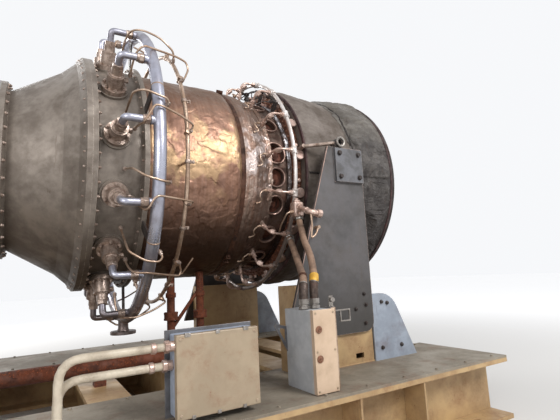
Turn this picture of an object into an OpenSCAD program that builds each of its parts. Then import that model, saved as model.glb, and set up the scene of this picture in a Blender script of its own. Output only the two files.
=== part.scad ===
// Industrial gas turbine engine on its skid, with fuel manifolds, supports and field boxes.
// The engine axis runs along X, from the air inlet at -X to the exhaust at +X.

/* [Engine axis] */
// Height of the engine axis above the floor
axis_z = 1550; // [1500:10:1650]
// Where the inlet flange starts, from the middle of the skid
x_front = -1830; // [-1860:10:-1800]

/* [Skid] */
// Length of the skid
skid_l = 4300; // [4200:20:4600]
// Width of the skid over its rails
skid_w = 2500; // [2440:20:2640]
// Height of the beams
beam_h = 338; // [300:2:360]
// Flange width of a rail
rail_w = 300; // [260:10:320]
// Flange width of a cross beam
cross_w = 200; // [180:10:240]
// Flange thickness of the beams
flange_t = 24; // [18:1:30]
// Web thickness of the beams
web_t = 14; // [10:1:20]
// Thickness of the deck plates
deck_t = 12; // [8:1:16]
// Width of the open well between the deck plates
well_w = 1200; // [1100:10:1240]
// Diameter of an anchor hole in the rails
anchor_d = 34; // [26:1:42]

/* [Inlet and compressor] */
// Length of the inlet casing
inlet_l = 380; // [360:10:420]
// How much smaller the inlet throat's radius is than the compressor barrel's
throat_in = 32; // [22:1:44]
// Radius of the bellmouth curve
bell_r = 180; // [150:5:200]
// Wall thickness of the castings
cast_t = 22; // [18:1:28]
// Radius of the inlet hub
hub_r = 230; // [200:5:250]
// Number of inlet struts
strut_n = 6; // [5:1:8]
// Number of inlet guide vanes
vane_n = 18; // [16:1:22]
// Length of the front compressor casing
comp_front_l = 550; // [500:10:600]
// Length of the rear compressor casing
comp_rear_l = 450; // [420:10:480]
// Radius of the compressor barrel
comp_r = 432; // [425:1:440]
// How far a casing flange stands above its barrel
flange_up = 48; // [40:2:56]
// Thickness of one casing flange
case_flange_t = 25; // [20:1:30]
// Height of the bolted flanges along the compressor casings' split line
split_t = 44; // [36:2:52]
// How far the split-line flanges stand above the compressor barrel
split_up = 34; // [30:1:36]

/* [Combustor] */
// Length of the diffuser cone
diffuser_l = 400; // [360:10:440]
// Length of the burner casing that carries the injectors
burner_l = 270; // [260:5:290]
// Radius of the combustor casing
comb_r = 655; // [640:1:665]
// Length of the foil-wrapped combustor casing
comb_l = 550; // [520:10:580]
// Width of the clamp band
band_l = 20; // [16:1:26]
// Radius of the clamp band
band_r = 636; // [625:1:638]
// Number of fuel injectors
injector_n = 14; // [12:1:15]
// Straight length of an injector's feed under its bend
feed_drop = 31; // [28:1:36]

/* [Manifolds] */
// Height of the main manifold's tube above the combustor casing
main_ring_up = 225; // [215:1:240]
// Outer diameter of the main manifold tube
main_tube_d = 62; // [54:1:66]
// Height of the pilot ring's tube above the combustor casing
pilot_ring_up = 140; // [130:1:150]
// Outer diameter of the pilot ring tube
pilot_ring_d = 22; // [18:1:25]
// Outer diameter of a pilot tube
pilot_tube_d = 11; // [9:0.5:13]
// Height of the turbine fuel manifold's tube above the port casing
fuel_ring_up = 148; // [142:1:156]
// Outer diameter of the turbine fuel manifold tube
fuel_ring_d = 24; // [20:1:26]
// Number of fuel nozzles
nozzle_n = 18; // [16:1:19]

/* [Turbine casings] */
// Length of the foil-wrapped turbine casing
turb_l = 180; // [170:5:190]
// Radius of the turbine casing at its hot end
turb_r = 607; // [602:1:610]
// Length of the port casing
port_case_l = 155; // [150:1:165]
// Radius of the port casing
port_r = 600; // [590:1:601]
// Diameter of a port
port_d = 110; // [96:1:114]
// Bore of the larger blind port, the one just above the engine's middle on each side
big_port_d = 132; // [122:2:138]
// Depth of a port
port_deep = 40; // [30:1:50]
// Width of a port's raised rim
rim_w = 8; // [5:1:10]
// Length of the rear flange ring
rear_ring_l = 42; // [36:1:50]
// Radius of the rear flange ring
rear_ring_r = 660; // [650:1:668]

/* [Exhaust] */
// Inside radius of the exhaust duct
duct_r = 600; // [590:1:604]
// Wall thickness of the exhaust duct
duct_t = 40; // [34:1:42]
// Length of the front exhaust blanket
blanket_front_l = 423; // [410:1:440]
// Length of the rear exhaust blanket
blanket_rear_l = 305; // [290:1:320]
// Radius of the front blanket at its leading edge
blanket_front_r = 725; // [715:1:728]
// Radius where the two blankets meet
blanket_mid_r = 692; // [686:1:700]
// Radius of the rear blanket at its trailing edge
blanket_end_r = 731; // [728:1:740]
// Radius of the exhaust cone at its base
cone_r = 330; // [300:5:340]
// Number of exhaust struts
exhaust_strut_n = 6; // [5:1:7]

/* [Supports] */
// Where the rear supports' outer face stands, from the engine axis
plate_y = 850; // [846:1:870]
// Thickness of a support plate
plate_t = 20; // [16:1:25]
// Distance of the trunnion behind the front blanket's edge
trunnion_dx = 218; // [210:1:230]
// Diameter of a trunnion
trunnion_d = 150; // [140:2:160]
// Side of the square trunnion pad
pad_side = 210; // [195:1:216]
// Thickness of the trunnion pad
pad_t = 20; // [14:1:24]
// Height of a support plate's top edge above the engine axis
plate_over = 95; // [90:1:110]
// Height of a pedestal
pedestal_h = 470; // [440:5:500]
// Length of a pedestal
pedestal_l = 540; // [520:5:560]
// Depth of a pedestal
pedestal_deep = 180; // [150:5:200]
// Wall thickness of a pedestal
pedestal_t = 14; // [10:1:18]
// Outer diameter of a lifting eye
eye_d = 56; // [50:1:62]
// Bore of a lifting eye
eye_bore = 34; // [28:1:38]
// Thickness of the front support plate
front_plate_t = 32; // [26:1:40]

/* [Boxes] */
// Width of the small junction box
small_w = 120; // [110:1:130]
// Depth of the small junction box
small_deep = 250; // [230:5:270]
// Height of the small junction box
small_h = 368; // [340:2:390]
// Width of the large junction box
large_w = 340; // [320:2:360]
// Depth of the large junction box
large_deep = 100; // [90:1:120]
// Height of the large junction box
large_h = 300; // [280:2:310]
// Thickness of a box cover
cover_t = 10; // [6:1:14]
// Outer diameter of a fuel hose
hose_d = 39; // [34:1:42]
// Outer diameter of the cable conduits
conduit_d = 30; // [25:1:34]

/* [Pipework] */
// Outer diameter of the drain header
header_d = 80; // [70:1:90]
// Outer diameter of a drain riser
riser_d = 48; // [40:1:54]

/* [Hidden] */
$fn = 72;

// Stations along the engine
x_comp = x_front + inlet_l;
x_comp_rear = x_comp + comp_front_l;
x_diff = x_comp_rear + comp_rear_l;
x_burner = x_diff + diffuser_l;
x_comb = x_burner + burner_l;
x_band = x_comb + comb_l;
x_turb = x_band + band_l;
x_port = x_turb + turb_l;
x_ring = x_port + port_case_l;
x_blanket = x_ring + rear_ring_l;
x_mid = x_blanket + blanket_front_l;
x_tail = x_mid + blanket_rear_l;
tail_flange_t = 25;
x_end = x_tail + tail_flange_t;

// Radii that follow from others
case_flange_r = comp_r + flange_up;
burner_flange_r = comb_r + 38;
diff_flange_r = comb_r + 45;
duct_out = duct_r + duct_t;
main_ring_r = comb_r + main_ring_up;
pilot_ring_r = comb_r + pilot_ring_up;
fuel_ring_r = port_r + fuel_ring_up;
tail_flange_r = blanket_end_r - 9;
throat_r = comp_r - throat_in;
mouth_r = throat_r + bell_r;
mouth_flange_r = mouth_r + 80;

// Skid
deck_z = beam_h + deck_t;
rail_y = skid_w / 2 - rail_w / 2;
cross_half = skid_w / 2 - rail_w;
anchor_x = skid_l / 2 - 250;
anchor_y = skid_w / 2 - 60;

// Small shared clearances
fit_gap = 2;
seat_gap = 0.3;

// Ring stations
x_main = x_comb;
x_pilot = x_comb + 163;
x_fuel = x_port + 96;
x_port_mid = x_port + 46;
x_disc = x_ring + rear_ring_l / 2;
x_injector = x_burner + 110;
first_angle = 6;
injector_step = 360 / injector_n;
nozzle_step = 360 / nozzle_n;
port_angles = [52, 72, 30, 9, -6, -22.5, -42, -62, -82];
function port_size(a) = a == 9 ? big_port_d : port_d;

// Trunnion and rear supports
x_trunnion = x_blanket + trunnion_dx;
plate_top_z = axis_z + plate_over;
plate_right = x_trunnion + pad_side / 2 + 10;
plate_left = plate_right - 262;
plate_foot_z = deck_z + 180;
plate_foot_left = plate_right - 620;
pedestal_x1 = plate_right;
pedestal_x0 = pedestal_x1 - pedestal_l;
plate_in = plate_y - plate_t;
eye_x = plate_left + 85;
eye_z = plate_top_z + eye_d / 2;
eye_len = 66;

// Boxes
box_face_y = skid_w / 2 - 50;
small_x = 816;
large_x = 189;
large_z = deck_z + 30;
small_top = deck_z + small_h;
large_top = large_z + large_h;
gland_d = 46;
gland_h = 40;
channel_w = 41;
channel_t = 21;

// A point on the engine, from its station, its radius and its angle above the near side
function ring_pt(x, r, a) = [x, -r * cos(a), axis_z + r * sin(a)];

function unit(v) = v / norm(v);

// The side vector of a tube's frame, carried along its directions
function carried(dirs, i, first) =
    i == 0 ? first : let (u = carried(dirs, i - 1, first)) unit(u - (u * dirs[i]) * dirs[i]);

// A symmetrical blade outline, round nosed and thin at both ends
function blade(chord, thick, n) = concat(
    [for (i = [0:n]) let (s = 2 * i / n - 1) [s * chord / 2, thick / 2 * (1 - s * s) + 0.5]],
    [for (i = [n:-1:0]) let (s = 2 * i / n - 1) [s * chord / 2, -thick / 2 * (1 - s * s) - 0.5]]
);

function arc(cr, cx, r, a0, a1, n) =
    [for (i = [0:n]) let (a = a0 + (a1 - a0) * i / n) [cr + r * cos(a), cx + r * sin(a)]];

// A solid of revolution about the engine axis, from [radius, station] points
module revolve(profile) {
    translate([0, 0, axis_z])
        rotate([0, 90, 0])
            rotate_extrude()
                polygon(profile);
}

module barrel(x0, x1, r) {
    translate([x0, 0, axis_z])
        rotate([0, 90, 0])
            cylinder(h = x1 - x0, r = r);
}

module ring(x0, x1, r_in, r_out) {
    revolve([[r_in, x0], [r_out, x0], [r_out, x1], [r_in, x1]]);
}

// Children drawn on the near side, turned up round the engine by an angle
module around(a) {
    translate([0, 0, axis_z])
        rotate([-a, 0, 0])
            children();
}

// A radial cylinder on the near side, between two radii
module spoke(x, r0, r1, d) {
    translate([x, -r0, 0])
        rotate([90, 0, 0])
            cylinder(h = r1 - r0, d = d);
}

// A straight round bar between two points
module bar(p, q, d) {
    v = q - p;
    translate(p)
        rotate([0, acos(v[2] / norm(v)), atan2(v[1], v[0])])
            cylinder(h = norm(v), d = d);
}

// A bent tube through a list of points
module tube(path, d, sides) {
    last = len(path) - 1;
    dirs = [for (i = [0:last]) unit(path[min(i + 1, last)] - path[max(i - 1, 0)])];
    flat = abs(dirs[0][2]) < 0.9 ? [0, 0, 1] : [1, 0, 0];
    first = unit(cross(dirs[0], flat));
    us = [for (i = [0:last]) carried(dirs, i, first)];
    points = [
        for (i = [0:last])
            for (k = [0:sides - 1])
                path[i] + d / 2 * (cos(360 * k / sides) * us[i] + sin(360 * k / sides) * cross(dirs[i], us[i]))
    ];
    walls = [
        for (i = [0:last - 1])
            for (k = [0:sides - 1])
                let (n = (k + 1) % sides)
                    [i * sides + k, (i + 1) * sides + k, (i + 1) * sides + n, i * sides + n]
    ];
    near = [for (k = [0:sides - 1]) k];
    far = [for (k = [sides - 1:-1:0]) last * sides + k];
    polyhedron(points, concat([near, far], walls));
}

// Children on the near side, and their mirror image on the far side
module both_sides() {
    for (side = [0, 1])
        mirror([0, side, 0])
            children();
}

// Skid

// Rails and beams are welded from plates, so their webs stop short of the flanges by the root gap
web_z = flange_t + seat_gap;
web_h = beam_h - 2 * web_z;

module skid_rail() {
    stiffener_y = rail_w / 2 - web_t / 2 - 4 - seat_gap;
    color("burlywood") {
        difference() {
            translate([-skid_l / 2, -skid_w / 2, 0])
                cube([skid_l, rail_w, flange_t]);
            for (x = [-anchor_x, anchor_x])
                translate([x, -anchor_y, -1])
                    cylinder(h = flange_t + 2, d = anchor_d);
        }
        translate([-skid_l / 2, -skid_w / 2, beam_h - flange_t])
            cube([skid_l, rail_w, flange_t]);
        translate([-skid_l / 2, -rail_y - web_t / 2, web_z])
            cube([skid_l, web_t, web_h]);
        for (x = [x_comp, pedestal_x0 + 60, pedestal_x1 - 60])
            translate([x - 6, -skid_w / 2 + 4, web_z])
                cube([12, stiffener_y, web_h]);
    }
}

module cross_beam(x) {
    web_half = skid_w / 2 - rail_w / 2 - web_t / 2;
    for (z = [0, beam_h - flange_t])
        translate([x - cross_w / 2, -cross_half, z])
            cube([cross_w, 2 * cross_half, flange_t]);
    translate([x - web_t / 2, -web_half, web_z])
        cube([web_t, 2 * web_half, web_h]);
}

module skid_cross_beams() {
    end_x = skid_l / 2 - cross_w / 2;
    color("burlywood")
        for (x = [-end_x, x_comp, -700, 60, 550, pedestal_x0 + 100, pedestal_x1 - 100, end_x])
            cross_beam(x);
}

module deck_plate() {
    color("tan")
        translate([-skid_l / 2, -skid_w / 2, beam_h])
            cube([skid_l, skid_w / 2 - well_w / 2, deck_t]);
}

// Front support, a saddle plate under the casing flanges
module front_support() {
    foot_w = well_w - 60;
    saddle_w = 2 * case_flange_r - 90;
    color("burlywood")
        difference() {
            union() {
                translate([x_comp - cross_w / 2, -foot_w / 2, beam_h])
                    cube([cross_w, foot_w, 25]);
                translate([x_comp - front_plate_t / 2, 0, beam_h + 25])
                    rotate([90, 0, 90])
                        linear_extrude(front_plate_t)
                            polygon([
                                [-foot_w / 2 + 20, 0], [foot_w / 2 - 20, 0],
                                [saddle_w / 2, axis_z - beam_h - 25 - 250],
                                [-saddle_w / 2, axis_z - beam_h - 25 - 250]
                            ]);
            }
            barrel(x_comp - cross_w, x_comp + cross_w, case_flange_r);
            translate([x_comp - cross_w, 0, beam_h + 350])
                rotate([0, 90, 0])
                    cylinder(h = 2 * cross_w, d = 300);
        }
}

// Inlet

x_arc = x_front + bell_r;

module inlet_case() {
    color("gray")
        revolve([
            [throat_r, x_arc], [throat_r + cast_t, x_arc],
            [throat_r + cast_t, x_comp - case_flange_t], [case_flange_r, x_comp - case_flange_t],
            [case_flange_r, x_comp], [throat_r, x_comp]
        ]);
}

module bellmouth() {
    color("silver")
        difference() {
            revolve(concat(
                arc(mouth_r, x_arc, bell_r, 180, 270, 10),
                [[mouth_flange_r, x_front], [mouth_flange_r, x_front + cast_t]],
                arc(mouth_r, x_arc, bell_r - cast_t, 270, 180, 10)
            ));
            for (i = [0:11])
                around(15 + 30 * i)
                    translate([x_front - 1, -mouth_flange_r + 30, 0])
                        rotate([0, 90, 0])
                            cylinder(h = cast_t + 2, d = 20);
        }
}

// The hub's nose and the struts that carry it, one casting
module inlet_hub() {
    nose_l = 150;
    x_nose = x_comp - 200;
    x_strut = x_comp - 110;
    color("dimgray") {
        revolve(concat(
            [for (i = [0:8]) [hub_r * sin(i * 90 / 8), x_nose - nose_l * cos(i * 90 / 8)]],
            [[hub_r, x_comp + 50], [0, x_comp + 50]]
        ));
        intersection() {
            union() {
                for (i = [0:strut_n - 1])
                    around(90 + i * 360 / strut_n)
                        translate([x_strut, -hub_r + 20, 0])
                            rotate([90, 0, 0])
                                linear_extrude(throat_r - hub_r + 40)
                                    polygon(blade(150, 34, 8));
            }
            ring(x_strut - 100, x_strut + 100, hub_r - 10, throat_r);
        }
    }
}

module guide_vanes() {
    color("darkgray")
        intersection() {
            union() {
                for (i = [0:vane_n - 1])
                    around(10 + i * 360 / vane_n)
                        translate([x_comp + 25, -hub_r + 20, 0])
                            rotate([90, 25, 0])
                                linear_extrude(throat_r - hub_r + 40)
                                    polygon(blade(42, 5, 4));
            }
            ring(x_comp - 10, x_comp + 48, hub_r, throat_r);
        }
}

// Compressor

// Flanges on both sides where the upper and lower halves of a casing are bolted together
module split_flange(x0, x1, r) {
    for (s = [-1, 1])
        translate([x0, s < 0 ? -r : comp_r - 20, axis_z - split_t / 2])
            cube([x1 - x0, r - comp_r + 20, split_t]);
}

module compressor_case_front() {
    color("gray") {
        revolve([
            [0, x_comp + 50], [throat_r, x_comp + 50], [throat_r, x_comp],
            [case_flange_r, x_comp], [case_flange_r, x_comp + case_flange_t],
            [comp_r, x_comp + case_flange_t + 20], [comp_r, x_comp + 150],
            [comp_r + 14, x_comp + 160], [comp_r + 14, x_comp + 180],
            [comp_r, x_comp + 190], [comp_r, x_comp_rear - 190],
            [comp_r + 14, x_comp_rear - 180], [comp_r + 14, x_comp_rear - 160],
            [comp_r, x_comp_rear - 150], [comp_r, x_comp_rear - case_flange_t - 20],
            [case_flange_r, x_comp_rear - case_flange_t], [case_flange_r, x_comp_rear],
            [0, x_comp_rear]
        ]);
        split_flange(
            x_comp + case_flange_t - 5, x_comp_rear - case_flange_t + 5, comp_r + split_up
        );
    }
}

module compressor_case_rear() {
    color("gray") {
        revolve([
            [0, x_comp_rear], [case_flange_r, x_comp_rear],
            [case_flange_r, x_comp_rear + case_flange_t],
            [comp_r, x_comp_rear + case_flange_t + 20], [comp_r, x_comp_rear + 180],
            [comp_r + 30, x_comp_rear + 200], [comp_r + 30, x_comp_rear + 300],
            [comp_r + 6, x_comp_rear + 320], [comp_r + 6, x_diff - case_flange_t - 16],
            [case_flange_r + 20, x_diff - case_flange_t], [case_flange_r + 20, x_diff],
            [0, x_diff]
        ]);
        split_flange(
            x_comp_rear + case_flange_t - 5, x_diff - case_flange_t + 5,
            comp_r + split_up + 14
        );
    }
}

module vane_ring() {
    x_vane = (x_comp + x_comp_rear) / 2;
    color("silver") {
        ring(x_vane - 12, x_vane + 12, comp_r + 40, comp_r + 62);
        for (i = [0:7])
            difference() {
                around(22.5 + i * 45)
                    spoke(x_vane, comp_r - 10, comp_r + 46, 18);
                barrel(x_vane - 40, x_vane + 40, comp_r);
            }
    }
}

// Combustor

module diffuser_case() {
    r0 = case_flange_r + 20;
    color("gray")
        revolve([
            [0, x_diff], [r0, x_diff], [r0, x_diff + case_flange_t],
            [comp_r + 20, x_diff + case_flange_t + 16], [comb_r - 60, x_burner - 120],
            [comb_r, x_burner - case_flange_t - 30], [diff_flange_r, x_burner - case_flange_t],
            [diff_flange_r, x_burner], [0, x_burner]
        ]);
}

module burner_case() {
    color("gray") {
        revolve([
            [0, x_burner], [diff_flange_r, x_burner], [diff_flange_r, x_burner + case_flange_t],
            [comb_r, x_burner + case_flange_t + 10], [comb_r, x_comb - case_flange_t - 10],
            [burner_flange_r, x_comb - case_flange_t], [burner_flange_r, x_comb], [0, x_comb]
        ]);
        for (i = [0:injector_n - 1])
            around(first_angle + i * injector_step)
                spoke(x_injector, comb_r - 40, comb_r + 12, 146);
    }
}

pad_r = comb_r + 12;
feed_bend = 50;
injector_top = main_ring_r - feed_bend - feed_drop;
injector_h = injector_top - pad_r;
injector_base_r = pad_r + injector_h / 6;
injector_neck_r = pad_r + injector_h * 0.7;
injector_side_r = (injector_base_r + injector_neck_r) / 2 + 11;

module injectors() {
    color("silver")
        for (i = [0:injector_n - 1])
            around(first_angle + i * injector_step) {
                spoke(x_injector, pad_r, injector_base_r, 126);
                spoke(x_injector, injector_base_r - 2, injector_neck_r, 86);
                spoke(x_injector, injector_neck_r - 2, injector_top, 58);
                translate([x_injector, -injector_side_r, 0])
                    rotate([0, 90, 0])
                        cylinder(h = 62, d = 24);
            }
}

// Main manifold with its stubs, one to each injector, and its supply flange
stub_d = 44;
stub_l = main_tube_d / 2 + 14;
supply_len = 96;

module main_manifold() {
    color("silver") {
        translate([x_main, 0, axis_z])
            rotate([0, 90, 0])
                rotate_extrude()
                    translate([main_ring_r, 0])
                        circle(d = main_tube_d);
        for (i = [0:injector_n - 1])
            around(first_angle + i * injector_step)
                translate([x_main - stub_l, -main_ring_r, 0])
                    rotate([0, 90, 0])
                        cylinder(h = stub_l, d = stub_d);
        difference() {
            union() {
                translate([x_main, 0, axis_z - main_ring_r - supply_len])
                    cylinder(h = supply_len, d = 60);
                translate([x_main, 0, axis_z - main_ring_r - supply_len])
                    cylinder(h = 20, d = 150);
            }
            translate([x_main, 0, axis_z - main_ring_r - supply_len - 1])
                cylinder(h = 50, d = 48);
            for (a = [45:90:315])
                translate([x_main, 0, axis_z - main_ring_r - supply_len - 1])
                    rotate([0, 0, a])
                        translate([60, 0, 0])
                            cylinder(h = 22, d = 14);
        }
    }
}

module manifold_brackets() {
    bracket_t = 8;
    bracket_w = 50;
    inset = 12;
    tube_r = main_tube_d / 2;
    chord = pow(bracket_w / 2, 2) / (2 * burner_flange_r);
    seat_r = main_ring_r - sqrt(tube_r * tube_r - inset * inset) - seat_gap - chord;
    foot_r = burner_flange_r + seat_gap;
    color("dimgray")
        for (i = [0:2:injector_n - 1])
            around(first_angle + (i + 0.5) * injector_step)
                translate([x_main - inset - bracket_t, -seat_r, -bracket_w / 2])
                    cube([bracket_t, seat_r - foot_r, bracket_w]);
}

module injector_feeds() {
    x_start = x_main - stub_l;
    color("silver")
        for (i = [0:injector_n - 1]) {
            a = first_angle + i * injector_step;
            tube([
                ring_pt(x_start, main_ring_r, a),
                ring_pt(x_injector + feed_bend, main_ring_r, a),
                ring_pt(x_injector + feed_bend * 0.29, main_ring_r - feed_bend * 0.29, a),
                ring_pt(x_injector, main_ring_r - feed_bend, a),
                ring_pt(x_injector, injector_top, a)
            ], 36, 8);
        }
}

pilot_boss = 28;
pilot_boss_r = pilot_ring_r + pilot_ring_d / 2 + 12;
standoff_angles = [-5, 85, 175, 265];

module pilot_ring() {
    color("rosybrown") {
        translate([x_pilot, 0, axis_z])
            rotate([0, 90, 0])
                rotate_extrude()
                    translate([pilot_ring_r, 0])
                        circle(d = pilot_ring_d);
        for (i = [0:injector_n - 1])
            around(first_angle + i * injector_step)
                spoke(x_pilot, pilot_ring_r - 14, pilot_boss_r, pilot_boss);
        for (a = standoff_angles)
            difference() {
                around(a)
                    spoke(x_pilot, comb_r - 20, pilot_ring_r, 14);
                barrel(x_pilot - 40, x_pilot + 40, comb_r);
            }
    }
}

// Each pilot tube rises from the ring, crosses over the main manifold and drops to its injector
module pilot_tubes() {
    over_r = main_ring_r + main_tube_d / 2 + pilot_tube_d;
    x_entry = x_injector + 62 + pilot_tube_d / 2;
    color("rosybrown")
        for (i = [0:injector_n - 1]) {
            a = first_angle + i * injector_step;
            tube([
                ring_pt(x_pilot, pilot_boss_r, a),
                ring_pt(x_pilot, pilot_boss_r + 18, a + 0.5),
                ring_pt(x_pilot - 25, pilot_boss_r + 34, a + 2),
                ring_pt(x_main + 45, over_r, a + 8),
                ring_pt(x_main - 20, over_r + 4, a + 9.5),
                ring_pt(x_main - 58, over_r - 40, a + 9),
                ring_pt(x_entry + 6, injector_side_r + 60, a + 4),
                ring_pt(x_entry, injector_side_r + 20, a + 0.6),
                ring_pt(x_entry, injector_side_r - 8, a)
            ], pilot_tube_d, 6);
        }
}

module combustor_case() {
    color("peru")
        revolve([
            [0, x_comb], [comb_r - 12, x_comb], [comb_r, x_comb + 20], [comb_r, x_band - 40],
            [comb_r - 5, x_band - 16], [band_r, x_band], [0, x_band]
        ]);
}

module clamp_band() {
    color("saddlebrown")
        revolve([[0, x_band], [band_r, x_band], [band_r, x_turb], [0, x_turb]]);
}

turb_profile = [
    [0, x_turb], [band_r, x_turb], [band_r + 12, x_turb + 14], [band_r + 8, x_turb + turb_l * 0.4],
    [turb_r + 4, x_port - 12], [turb_r, x_port], [0, x_port]
];

module turbine_case() {
    color("peru")
        revolve(turb_profile);
}

// Port casing: blind ports with raised rims round both sides of the engine
module port_case() {
    lip_t = 14;
    color("dimgray")
        difference() {
            union() {
                revolve([
                    [0, x_port], [port_r, x_port], [port_r, x_ring - lip_t - 6],
                    [port_r + 14, x_ring - lip_t], [port_r + 14, x_ring], [0, x_ring]
                ]);
                for (a = port_angles)
                    for (b = [a, 180 - a])
                        around(b)
                            spoke(x_port_mid, port_r - 20, port_r + 10, port_size(a) + 2 * rim_w);
            }
            for (a = port_angles)
                for (b = [a, 180 - a])
                    around(b)
                        spoke(x_port_mid, port_r - port_deep, port_r + 30, port_size(a));
            barrel(x_port - 60, x_port, port_r + 40);
        }
}

module port_plugs() {
    plug_r0 = port_r - port_deep;
    color("saddlebrown")
        difference() {
            for (a = port_angles)
                for (b = [a, 180 - a])
                    around(b) {
                        spoke(x_port_mid, plug_r0, plug_r0 + 12, port_size(a) - 2 * fit_gap);
                        spoke(x_port_mid, plug_r0 + 10, plug_r0 + 22, port_size(a) * 0.45);
                    }
            barrel(x_port - 80, x_port, port_r + 40);
        }
}

// Turbine fuel manifold with a tee for each nozzle
tee_d = 32;
tee_l = 40;

module manifold_tee(d) {
    translate([x_fuel, -fuel_ring_r, -tee_l / 2])
        cylinder(h = tee_l, d = d);
}

module fuel_manifold() {
    color("gainsboro") {
        translate([x_fuel, 0, axis_z])
            rotate([0, 90, 0])
                rotate_extrude()
                    translate([fuel_ring_r, 0])
                        circle(d = fuel_ring_d);
        for (i = [0:nozzle_n - 1])
            around(first_angle + i * nozzle_step)
                manifold_tee(tee_d);
    }
}

nozzle_x = x_port - 22;
nozzle_r = turb_r + 40;
nozzle_seat_r = turb_r + 4 + (band_r - turb_r + 4) * 10 / (turb_l * 0.6 - 12);

module fuel_nozzles() {
    knee = [nozzle_x, -nozzle_r, 0];
    tee = [x_fuel, -fuel_ring_r, 0];
    reach = norm(tee - knee) - tee_d / 2 - seat_gap;
    lean = atan2(fuel_ring_r - nozzle_r, x_fuel - nozzle_x);
    color("rosybrown")
        for (i = [0:nozzle_n - 1])
            around(first_angle + i * nozzle_step) {
                translate(knee)
                    rotate([0, 90, -lean])
                        rotate_extrude()
                            polygon([
                                [0, 0], [10, 0], [10, reach * 0.5], [17, reach * 0.5 + 3],
                                [17, reach * 0.8 - 3], [10, reach * 0.8], [10, reach], [0, reach]
                            ]);
                translate(knee - [0, 0, 13])
                    cylinder(h = 26, d = 26);
                spoke(nozzle_x, nozzle_seat_r + seat_gap, nozzle_r, 18);
            }
}

// A thin line curls from each nozzle to the casing beside it
module pigtails() {
    line_d = 8;
    x_start = nozzle_x - 13 - line_d / 2;
    foot_r = band_r + 16;
    color("tan")
        for (i = [0:nozzle_n - 1]) {
            a = first_angle + i * nozzle_step;
            tube([
                ring_pt(x_start, nozzle_r, a),
                ring_pt(x_start - 30, nozzle_r + 6, a - 0.3),
                ring_pt(x_start - 50, nozzle_r + 10, a - 1.6),
                ring_pt(x_start - 46, nozzle_r + 10, a - 3.6),
                ring_pt(x_start - 34, nozzle_r + 6, a - 5.2),
                ring_pt(x_start - 44, nozzle_r - 2, a - 6.8),
                ring_pt(x_start - 62, foot_r - 2, a - 7.4),
                ring_pt(x_start - 66, foot_r - 10, a - 7.4)
            ], line_d, 6);
        }
}

module rear_flange_ring() {
    color("sienna")
        revolve([
            [duct_r - 60, x_ring], [rear_ring_r - 10, x_ring], [rear_ring_r, x_ring + 6],
            [rear_ring_r, x_blanket], [duct_r - 60, x_blanket]
        ]);
}

module boss_discs() {
    color("tan")
        difference() {
            for (i = [0:nozzle_n - 1])
                around(first_angle + i * nozzle_step)
                    spoke(x_disc, rear_ring_r - 20, rear_ring_r + 40, rear_ring_l - 4);
            revolve([
                [0, x_ring - 1], [rear_ring_r, x_ring - 1],
                [rear_ring_r, x_blanket + 1], [0, x_blanket + 1]
            ]);
        }
}

// Probe bosses over the top of the port casing
module top_bosses() {
    color("dimgray")
        difference() {
            for (a = [42, 62, 81, 99, 118, 138])
                around(a) {
                    spoke(x_ring - 40, port_r - 20, port_r + 60, 26);
                    translate([x_ring - 40, -port_r - 58, 0])
                        rotate([90, 0, 0])
                            cylinder(h = 26, d = 40, $fn = 6);
                }
            barrel(x_ring - 100, x_ring + 20, port_r);
        }
}

// Exhaust

module exhaust_duct() {
    color("dimgray")
        difference() {
            revolve([
                [duct_r, x_blanket], [duct_out, x_blanket], [duct_out, x_tail],
                [tail_flange_r, x_tail], [tail_flange_r, x_end], [duct_r, x_end]
            ]);
            for (i = [0:11])
                around(15 + 30 * i)
                    translate([x_tail - 1, -tail_flange_r + 26, 0])
                        rotate([0, 90, 0])
                            cylinder(h = tail_flange_t + 2, d = 20);
        }
}

module trunnion_holes() {
    translate([x_trunnion, plate_y, axis_z])
        rotate([90, 0, 0])
            cylinder(h = 2 * plate_y, d = trunnion_d + 2 * fit_gap);
}

module exhaust_blanket_front() {
    color("gray")
        difference() {
            revolve([
                [duct_out, x_blanket], [blanket_front_r - 8, x_blanket],
                [blanket_front_r, x_blanket + 8], [blanket_front_r - 2, x_blanket + 60],
                [blanket_mid_r + 4, x_mid - 60], [blanket_mid_r, x_mid], [duct_out, x_mid]
            ]);
            trunnion_holes();
        }
}

module exhaust_blanket_rear() {
    color("gray")
        revolve([
            [duct_out, x_mid], [blanket_mid_r, x_mid], [blanket_mid_r + 12, x_mid + 100],
            [blanket_end_r - 10, x_tail - 30], [blanket_end_r, x_tail - 22],
            [blanket_end_r, x_tail], [duct_out, x_tail]
        ]);
}

module exhaust_cone() {
    color("dimgray")
        revolve([
            [0, x_ring], [cone_r, x_ring], [cone_r, x_mid - 60], [cone_r - 60, x_tail - 60],
            [cone_r - 90, x_tail - 50], [0, x_tail - 50]
        ]);
}

module exhaust_struts() {
    x_strut = x_blanket + 240;
    color("dimgray")
        intersection() {
            union() {
                for (i = [0:exhaust_strut_n - 1])
                    around(90 + i * 360 / exhaust_strut_n)
                        translate([x_strut, -cone_r + 20, 0])
                            rotate([90, 0, 0])
                                linear_extrude(duct_r - cone_r + 40)
                                    polygon(blade(220, 60, 8));
            }
            ring(x_strut - 120, x_strut + 120, cone_r, duct_r);
        }
}

// Rear supports, drawn on the near side and mirrored

module trunnion() {
    color("dimgray")
        difference() {
            union() {
                translate([x_trunnion, -duct_r, axis_z])
                    rotate([90, 0, 0])
                        cylinder(h = plate_in - duct_r, d = trunnion_d);
                translate([x_trunnion - pad_side / 2, -plate_in, axis_z - pad_side / 2 - 20])
                    cube([pad_side, pad_t, pad_side]);
            }
            barrel(x_blanket, x_mid, duct_out);
        }
}

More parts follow.
